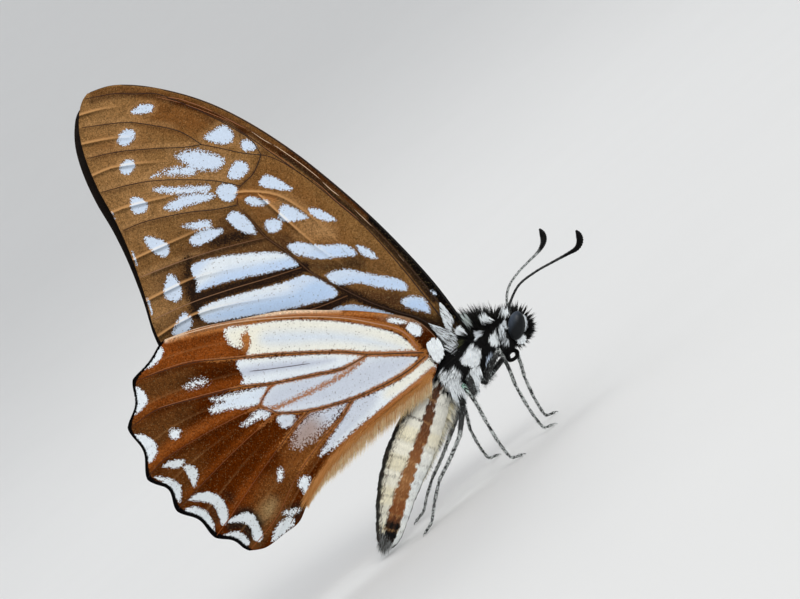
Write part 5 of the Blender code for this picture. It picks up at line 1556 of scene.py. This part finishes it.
def coatPatch(name, form, side, finish):
    dice = np.random.default_rng(len(name) + side)
    flat = hairPlaces(form, dice)
    count = len(flat)
    out = side * (form["out"] + dice.normal(size=count) * 0.05)
    places = np.stack([flat[:, 0], out, flat[:, 1]], axis=1)
    lie = copies(form["lie"], count) + dice.normal(size=(count, 3)) * form["fan"]
    lie[:, 1] = side * np.abs(lie[:, 1]) * 0.8
    length = dice.uniform(*form["length"], count)
    if "shorten" in form:
        start, over = form["shorten"]
        length *= 1 - 0.75 * ease((start - flat[:, 0]) / over)
    # No hair reaches the floor
    room = (flat[:, 1] + floorDrop - 0.06) / np.maximum(0.1, 0.2 - unit(lie)[:, 2])
    length = np.minimum(length, np.maximum(room, 0.1))
    first, second = (np.array(tint[colour]) for colour in form["colours"])
    share = dice.random(count)[:, None] * 0.6
    shade = dice.uniform(0.85, 1.1, count)[:, None]
    colour = (first + (second - first) * share) * shade
    tips = (first + (second - first) * (share + 0.4)) * shade
    dark = dice.random(count) < form.get("dark", 0.0)
    colour[dark] = tips[dark] = tint["soot"]
    width = form["width"] * dice.uniform(0.7, 1.2, count)
    mesh = hairMesh(
        name + "_" + sideNames[side], placeAll(places), unit(lie), copies((0.0, side, 0.0), count), length,
        width, colour, tips, copies((-0.2, 0.0, -0.3), count), sideUnwrap(places, 35.0, 20.0, 65.0),
    )
    dress(mesh.name, mesh, [finish], form["slot"])


def buildEye(side, finish):
    eye = "eye_" + sideNames[side]
    h, y, v = eyeForm["centre"]
    bm = bmesh.new()
    size = Matrix.Diagonal((*(s * mm for s in eyeForm["semi"]), 1.0))
    turn = Matrix.Rotation(-math.radians(eyeForm["lean"]), 4, "Y")
    bmesh.ops.create_uvsphere(bm, u_segments=64, v_segments=40, radius=1.0, matrix=turn @ size)
    bmesh.ops.translate(bm, vec=place(h, side * y, v), verts=bm.verts)
    mesh = meshOf(bm, eye)
    points = unplace(readPoints(mesh)) - np.array([h, side * y, v])
    # The upper side of the eye is painted lighter, a painted reflection of the sky
    giveMarks(mesh, {"lift": (points[:, 2] * 0.78 - points[:, 0] * 0.3) / eyeForm["semi"][2]})
    mesh.shade_smooth()
    dress("eye_ball_" + sideNames[side], mesh, [finish], "eye", eye)


def eyeFinish():
    settings = {"Coat Weight": 0.08, "Coat Roughness": 0.15, "Specular IOR Level": 0.15}
    finish = Finish("compoundEye", 0.3, settings)
    where = finish.place()
    cloud = finish.noise(where, 0.5) - 0.5
    # Painted reflection of the sky on the upper side of the eye
    sky = (finish.attribute("lift") + cloud * 0.3).between(0.0, 1.4)
    finish.paint(finish.mix(sky, tint["eyeDark"], tint["eyeSkyReflection"]))
    finish.raiseUp(1.0 - finish.cells(where, 0.075) * 1.5, 0.012, 0.6)
    return finish


# Feelers and mouth parts as (h, y, v, radius); y is for the side they are on
feelers = {
    "antenna_right": [
        (5.35, -0.42, -3.2, 0.16), (5.6, -0.55, -2.6, 0.15), (6.05, -0.85, -2.1, 0.14),
        (7.7, -1.8, -1.25, 0.13), (9.7, -2.9, -1.2, 0.125), (11.5, -3.9, -1.45, 0.13),
        (13.1, -4.8, -1.7, 0.17), (14.1, -5.4, -1.8, 0.27), (14.75, -5.75, -1.45, 0.35),
        (15.05, -5.95, -0.85, 0.32), (15.1, -6.05, -0.3, 0.1),
    ],
    "antenna_left": [
        (5.35, 0.42, -3.2, 0.16), (5.6, 0.55, -2.55, 0.15), (6.3, 0.95, -1.6, 0.14),
        (7.4, 1.5, -0.85, 0.13), (9, 2.3, -0.45, 0.125), (10.7, 3.3, -0.3, 0.13), (12.4, 4.5, -0.2, 0.17),
        (13.4, 5.3, 0.05, 0.27), (14, 5.8, 0.45, 0.35), (14.3, 6.05, 1, 0.32), (14.4, 6.2, 1.55, 0.1),
    ],
    "palp": [
        (4.7, 0.42, -5.3, 0.26), (5.05, 0.45, -5.72, 0.27), (5.55, 0.46, -5.82, 0.26),
        (6.02, 0.46, -5.5, 0.22), (6.28, 0.44, -5.05, 0.17), (6.4, 0.42, -4.65, 0.1),
    ],
    "coilCentre": (2.85, -6.62),
    "coilSize": (0.86, 0.6),
    "coilTurns": 2.4,
    "coilRadius": 0.15,
    "coilLead": [(4.35, 0, -5.1, 0.17), (4.05, 0, -5.7, 0.16), (3.55, 0, -6, 0.155)],
    # The antennae have this many rings, and the palps this many hairs of this width
    "rings": 34,
    "palpHairs": 900,
    "palpHairWidth": 0.045,
}


def buildAntenna(name, finish):
    line = rod(feelers[name], 14)
    line[:, 3] *= 1 + 0.07 * np.cos(np.linspace(0, 1, len(line)) * 2 * math.pi * feelers["rings"])
    mesh = tubeMesh(name + "_rings", [line])
    # The shaft of the left feeler is dusted with pale scales, the right one hardly
    shaft = ease((13.0 - unplace(readPoints(mesh))[:, 0]) / 1.0)
    giveMarks(mesh, {"dust": shaft * (0.9 if "left" in name else 0.12)})
    dress(mesh.name, mesh, [finish], "horn", name)


def buildPalp(side, finish, furLook):
    sideName = sideNames[side]
    mesh = tubeMesh("palp_core_" + sideName, [rod([(h, side * y, v, r) for h, y, v, r in feelers["palp"]])])
    dress(mesh.name, mesh, [finish], "body_fur", "palp_" + sideName)
    dice = np.random.default_rng(31 + side)
    count = feelers["palpHairs"]
    roots, normals = scatter(mesh, count, 17)
    places = unplace(roots)
    colour = bodyColour(places)
    lie = unit(normals + np.array([0.3, 0.0, -0.1]) + dice.normal(size=(count, 3)) * 0.15)
    fur = hairMesh(
        "palp_fur_" + sideName, roots, lie, normals, dice.uniform(0.25, 0.5, count),
        np.full(count, feelers["palpHairWidth"]), colour, colour, np.zeros((count, 3)),
        sideUnwrap(places, -3.5, 7.0, 4.0),
    )
    dress(fur.name, fur, [furLook], "body_fur")


def buildTongue(finish):
    (h, v), (wide, high) = feelers["coilCentre"], feelers["coilSize"]
    turns = np.linspace(0, 1, 90)
    angle = math.radians(60) + turns * feelers["coilTurns"] * 2 * math.pi
    shrink = 1 - 0.62 * turns
    coil = np.stack([
        h + wide * shrink * np.cos(angle), 0.1 * np.sin(angle * 0.5),
        v + high * shrink * np.sin(angle), feelers["coilRadius"] * (1 - 0.4 * turns),
    ], axis=1)
    lead = smoothLine(np.vstack([feelers["coilLead"], coil[:1]]), 5)[:-1]
    mesh = tubeMesh("proboscis_coil", [placeRods(np.vstack([lead, coil]))])
    dress(mesh.name, mesh, [finish], "horn", "proboscis")


# Joints of the legs: hip, end of the coxa, knee, ankle, heel and toe as (h, y, v). The height of heel
# and toe counts from toeRest above the floor.
toeRest = 0.2
legForm = {
    "leg_fore_right": [(0.9, -1.05, -4.9), (-1.5, -1.3, -7), (1.75, -2.4, -5), (0.75, -3, -9),
        (0.2, -3.3, 0.35), (1.3, -3.6, 0)],
    "leg_fore_left": [(1.6, 1.05, -4.8), (-0.6, 1.25, -7), (3.8, 2.5, -6.15), (2.8, 3.1, -9.5),
        (2, 3.6, 0.35), (3.1, 3.9, 0)],
    "leg_mid_right": [(-2.3, -1.5, -5.2), (-3.05, -2.15, -7), (-3.65, -4.6, -5.5), (-4.2, -5.4, -9.8),
        (-4.6, -6, 0.35), (-3.5, -6.5, 0)],
    "leg_mid_left": [(-1.9, 1.5, -5.2), (-2.6, 2.15, -7), (-3.4, 4.7, -6.2), (-4.9, 5.6, -10.4),
        (-5.3, 6.1, 0.35), (-4.2, 6.5, 0)],
    "leg_hind_right": [(-3.9, -1, -5.2), (-4.6, -1.75, -7.3), (-7.1, -4, -9.35), (-11.6, -5.2, -11.4),
        (-14.9, -5.9, 0.35), (-16.1, -6.2, 0)],
    "leg_hind_left": [(-3.9, 1, -5.2), (-4.5, 1.75, -7.4), (-7.5, 4.2, -9.7), (-11.3, 5.3, -11.9),
        (-14.2, 6, 0.35), (-15.5, 6.3, 0)],
}
# Radii along each part of a leg
legRadii = {
    "coxa": (0.5, 0.38),
    "femur": (0.26, 0.31, 0.23),
    "tibia": (0.21, 0.19, 0.18),
    "tarsus": (0.17, 0.14),
}
# Hairs tried on each leg, their width, and their length on foot, hip and shank
legHair = {"tried": 900, "width": 0.035, "foot": 0.16, "hip": 0.5, "shank": 0.2}


def legLines(joints):
    hip, trochanter, knee, ankle, heel, toe = (np.array(j, float) for j in joints)
    heel[2] += toeRest - floorDrop
    toe[2] += toeRest - floorDrop

    def part(places, name):
        return np.hstack([np.array(places), np.array(legRadii[name])[:, None]])

    thick = trochanter + (knee - trochanter) * 0.35
    bow = (knee + ankle) / 2 + np.array([0.15, 0.0, 0.0])
    instep = ankle + (heel - ankle) * 0.5 - np.array([0.12, 0.0, 0.0])
    foot = [ankle, instep, heel + (ankle - heel) * 0.08, heel + (toe - heel) * 0.25, toe]
    foot = smoothLine(np.array(foot), 6)
    tarsus = []
    bounds = [0.0, 0.42, 0.6, 0.74, 0.86, 1.0]
    first, last = legRadii["tarsus"]
    for a, b in zip(bounds, bounds[1:]):
        for t, swell in ((0.0, 0.78), (0.25, 0.95), (0.7, 1.1), (0.98, 0.95)):
            share = a + (b - a) * t
            radius = first + (last - first) * share
            tarsus.append((*alongLine(foot, [share])[0], radius * swell))
    return {
        "coxa": part([hip, trochanter], "coxa"),
        "femur": smoothLine(part([trochanter, thick, knee], "femur"), 6),
        "tibia": smoothLine(part([knee, bow, ankle], "tibia"), 6),
        "tarsus": np.array(tarsus),
    }


def clawLine(toe, forward, side):
    out = np.array([0.0, side * 0.1, 0.0])
    return rod([
        (*(toe + out * 0.6), 0.06),
        (*(toe + forward * 0.2 + out + [0, 0, 0.02]), 0.05),
        (*(toe + forward * 0.36 + out * 1.6 - [0, 0, 0.1]), 0.02),
    ])


def legMarks(name, points):
    # Green scales at the knees of the middle legs, and black on the femur
    trochanter, knee = (np.array(legForm[name][k]) for k in (1, 2))
    green = np.exp(-(np.linalg.norm(points - knee, axis=1) / 0.7) ** 2)
    thigh = knee - trochanter
    fromKnee = np.linalg.norm(points - knee, axis=1) / np.linalg.norm(thigh)
    toKnee = (points - trochanter) @ thigh / (thigh @ thigh)
    upper = ease((0.95 - toKnee) / 0.15) * ease((1.9 - fromKnee) / 0.2)
    upper = np.where(points[:, 2] < min(trochanter[2], knee[2]) - 0.4, 0.0, upper)
    return {"green": green if "mid" in name else np.zeros(len(points)), "upper": upper}


def buildLeg(name, finish, furLook):
    lines = legLines(legForm[name])
    rows = [placeRods(line) for line in lines.values()]
    toe, before = lines["tarsus"][-1, :3], lines["tarsus"][-3, :3]
    forward = unit((toe - before)[None])[0]
    rows += [clawLine(toe, forward, side) for side in sideNames]
    mesh = tubeMesh(name + "_segments", rows)
    giveMarks(mesh, legMarks(name, unplace(readPoints(mesh))))
    dress(mesh.name, mesh, [finish], "leg", name)

    dice = np.random.default_rng(len(name))
    roots, normals = scatter(mesh, legHair["tried"], 23)
    places = unplace(roots)
    trochanter, knee, ankle = (np.array(legForm[name][k]) for k in (1, 2, 3))
    foot = places[:, 2] < ankle[2] + 0.6
    hip = np.linalg.norm(places - trochanter, axis=1) < 1.3
    keep = (places[:, 2] > 0.35 - floorDrop) & (dice.random(len(roots)) < np.where(foot, 0.75, 0.6))
    roots, normals, places, foot, hip = roots[keep], normals[keep], places[keep], foot[keep], hip[keep]
    count = len(roots)
    down = unit((toe - knee)[None])[0]
    lie = normals * np.where(foot, 0.8, 0.55)[:, None] + down * 0.6
    lie = unit(lie + dice.normal(size=(count, 3)) * 0.1)
    length = np.where(foot, legHair["foot"], np.where(hip, legHair["hip"], legHair["shank"]))
    length = length * dice.uniform(0.7, 1.3, count)
    pale = dice.random(count) < np.where(hip, 0.2, 0.35)
    colour = np.where(pale[:, None], np.array(tint["silver"]), np.array(tint["black"]))
    fur = hairMesh(
        name + "_hair", roots, lie, normals, length, np.full(count, legHair["width"]), colour, colour,
        np.zeros((count, 3)), sideUnwrap(places, 18.0, 16.0, 24.0),
    )
    dress(fur.name, fur, [furLook], "leg")


def legFinish():
    finish = Finish("legScales", 0.55, {"Specular IOR Level": 0.35})
    where = finish.place()
    cells = finish.channel(finish.cells(where, 0.12, out=1), 0)
    black = (cells + finish.noise(where, 0.35) * 0.6).between(0.78, 0.86)
    pale = finish.mix(finish.attribute("green"), tint["ash"], tint["jade"])
    colour = finish.mix(black, pale, tint["black"])
    finish.paint(finish.mix(finish.attribute("upper") * 0.94, colour, tint["black"]))
    finish.raiseUp(cells, 0.02, 0.5)
    return finish


def hornFinish():
    finish = Finish("blackHorn", 0.4, {"Specular IOR Level": 0.07})
    where = finish.place()
    dust = finish.channel(finish.cells(where, 0.1, out=1), 0).between(0.3, 0.5) * finish.attribute("dust")
    finish.paint(finish.mix(dust, tint["black"], tint["ash"]))
    finish.raiseUp(finish.noise(where, 0.08, 1.0), 0.012, 0.5)
    return finish


furLook = furFinish("furAndHair", 0.6, 0.02)
skin = buildSkin(furFinish("skinUnderFur", 0.7, 0.0))
print("skin built")
coatBody(skin, furLook)
for name, form in hairPatches.items():
    for side in sideNames:
        coatPatch(name, form, side, furLook)
print("coat built")
compoundEye = eyeFinish()
horn = hornFinish()
for side in sideNames:
    buildEye(side, compoundEye)
for sideName in sideNames.values():
    buildAntenna("antenna_" + sideName, horn)
for side in sideNames:
    buildPalp(side, horn, furLook)
buildTongue(horn)
legScales = legFinish()
for name in legForm:
    buildLeg(name, legScales, furLook)
print("eyes, feelers and legs built")


# The studio: a pale floor that turns up far away on every side, soft lamps, and the camera
studio = {
    "floorRadius": 0.4,
    "reach": 2.2,
    "climb": 0.24,
    "floorColour": linear(228, 228, 226),
    "skyColour": linear(240, 242, 246),
    "skyStrength": 0.8,
}
lamps = [
    # name, (h, y, v) in mm, width in mm, power in watts, colour
    ("keyLamp", (300, -680, 480), 420, 3.1, (1.0, 0.985, 0.96)),
    ("rimLamp", (60, 600, 620), 420, 1.2, (1.0, 1.0, 1.0)),
]
view = {
    "lens": 100.0,
    "sensor": 36.0,
    "distance": 230.0,
    "aim": (-2.76, 0.0, 5.18),
    "azimuth": -6.0,
    "elevation": 2.0,
    "roll": -38.42,
}


def buildStudio():
    floor = Finish("studioFloor", 0.85)
    tone = floor.noise(floor.place(), 40.0, 3.0) * 0.03 + 0.985
    floor.paint(floor.shade(studio["floorColour"], tone))
    bm = bmesh.new()
    line = [(0.0, 0.0)]
    for step in range(13):
        run = (studio["reach"] - studio["floorRadius"]) * step / 12
        line.append((studio["floorRadius"] + run, studio["climb"] * run * run))
    rim = [bm.verts.new((x, 0.0, z)) for x, z in line]
    edges = [bm.edges.new(pair) for pair in zip(rim, rim[1:])]
    bmesh.ops.spin(
        bm, geom=rim + edges, cent=(0, 0, 0), axis=(0, 0, 1), angle=2 * math.pi, steps=96, use_merge=True,
    )
    bmesh.ops.remove_doubles(bm, verts=bm.verts, dist=0.00001)
    bmesh.ops.recalc_face_normals(bm, faces=bm.faces)
    mesh = meshOf(bm, "studio_floor")
    mesh.shade_smooth()
    show("studio_floor", mesh, [floor])

    world = bpy.data.worlds.new("studioSky")
    world.use_nodes = True
    sky = world.node_tree.nodes["Background"]
    sky.inputs["Color"].default_value = (*studio["skyColour"], 1.0)
    sky.inputs["Strength"].default_value = studio["skyStrength"]
    bpy.context.scene.world = world
    target = place(-10, 0, 10)
    for name, spot, width, power, colour in lamps:
        data = bpy.data.lights.new(name, "AREA")
        data.shape = "DISK"
        data.size = width * mm
        data.energy = power
        data.color = colour
        lamp = bpy.data.objects.new(name, data)
        bpy.context.scene.collection.objects.link(lamp)
        lamp.location = place(*spot)
        lamp.rotation_euler = (target - lamp.location).to_track_quat("-Z", "Y").to_euler()


def buildCamera():
    data = bpy.data.cameras.new("camera")
    data.lens = view["lens"]
    data.sensor_width = view["sensor"]
    data.clip_start = 0.01
    data.clip_end = 20.0
    camera = bpy.data.objects.new("camera", data)
    bpy.context.scene.collection.objects.link(camera)
    a, e = math.radians(view["azimuth"]), math.radians(view["elevation"])
    back = Vector((math.sin(a) * math.cos(e), -math.cos(a) * math.cos(e), math.sin(e)))
    camera.location = place(*view["aim"]) + back * view["distance"] * mm
    upright = (-back).to_track_quat("-Z", "Y")
    camera.rotation_mode = "QUATERNION"
    roll = Matrix.Rotation(math.radians(view["roll"]), 3, "Z")
    camera.rotation_quaternion = upright @ roll.to_quaternion()
    bpy.context.scene.camera = camera
    bpy.context.scene.view_settings.view_transform = "Standard"


buildStudio()
buildCamera()
print("studio built")
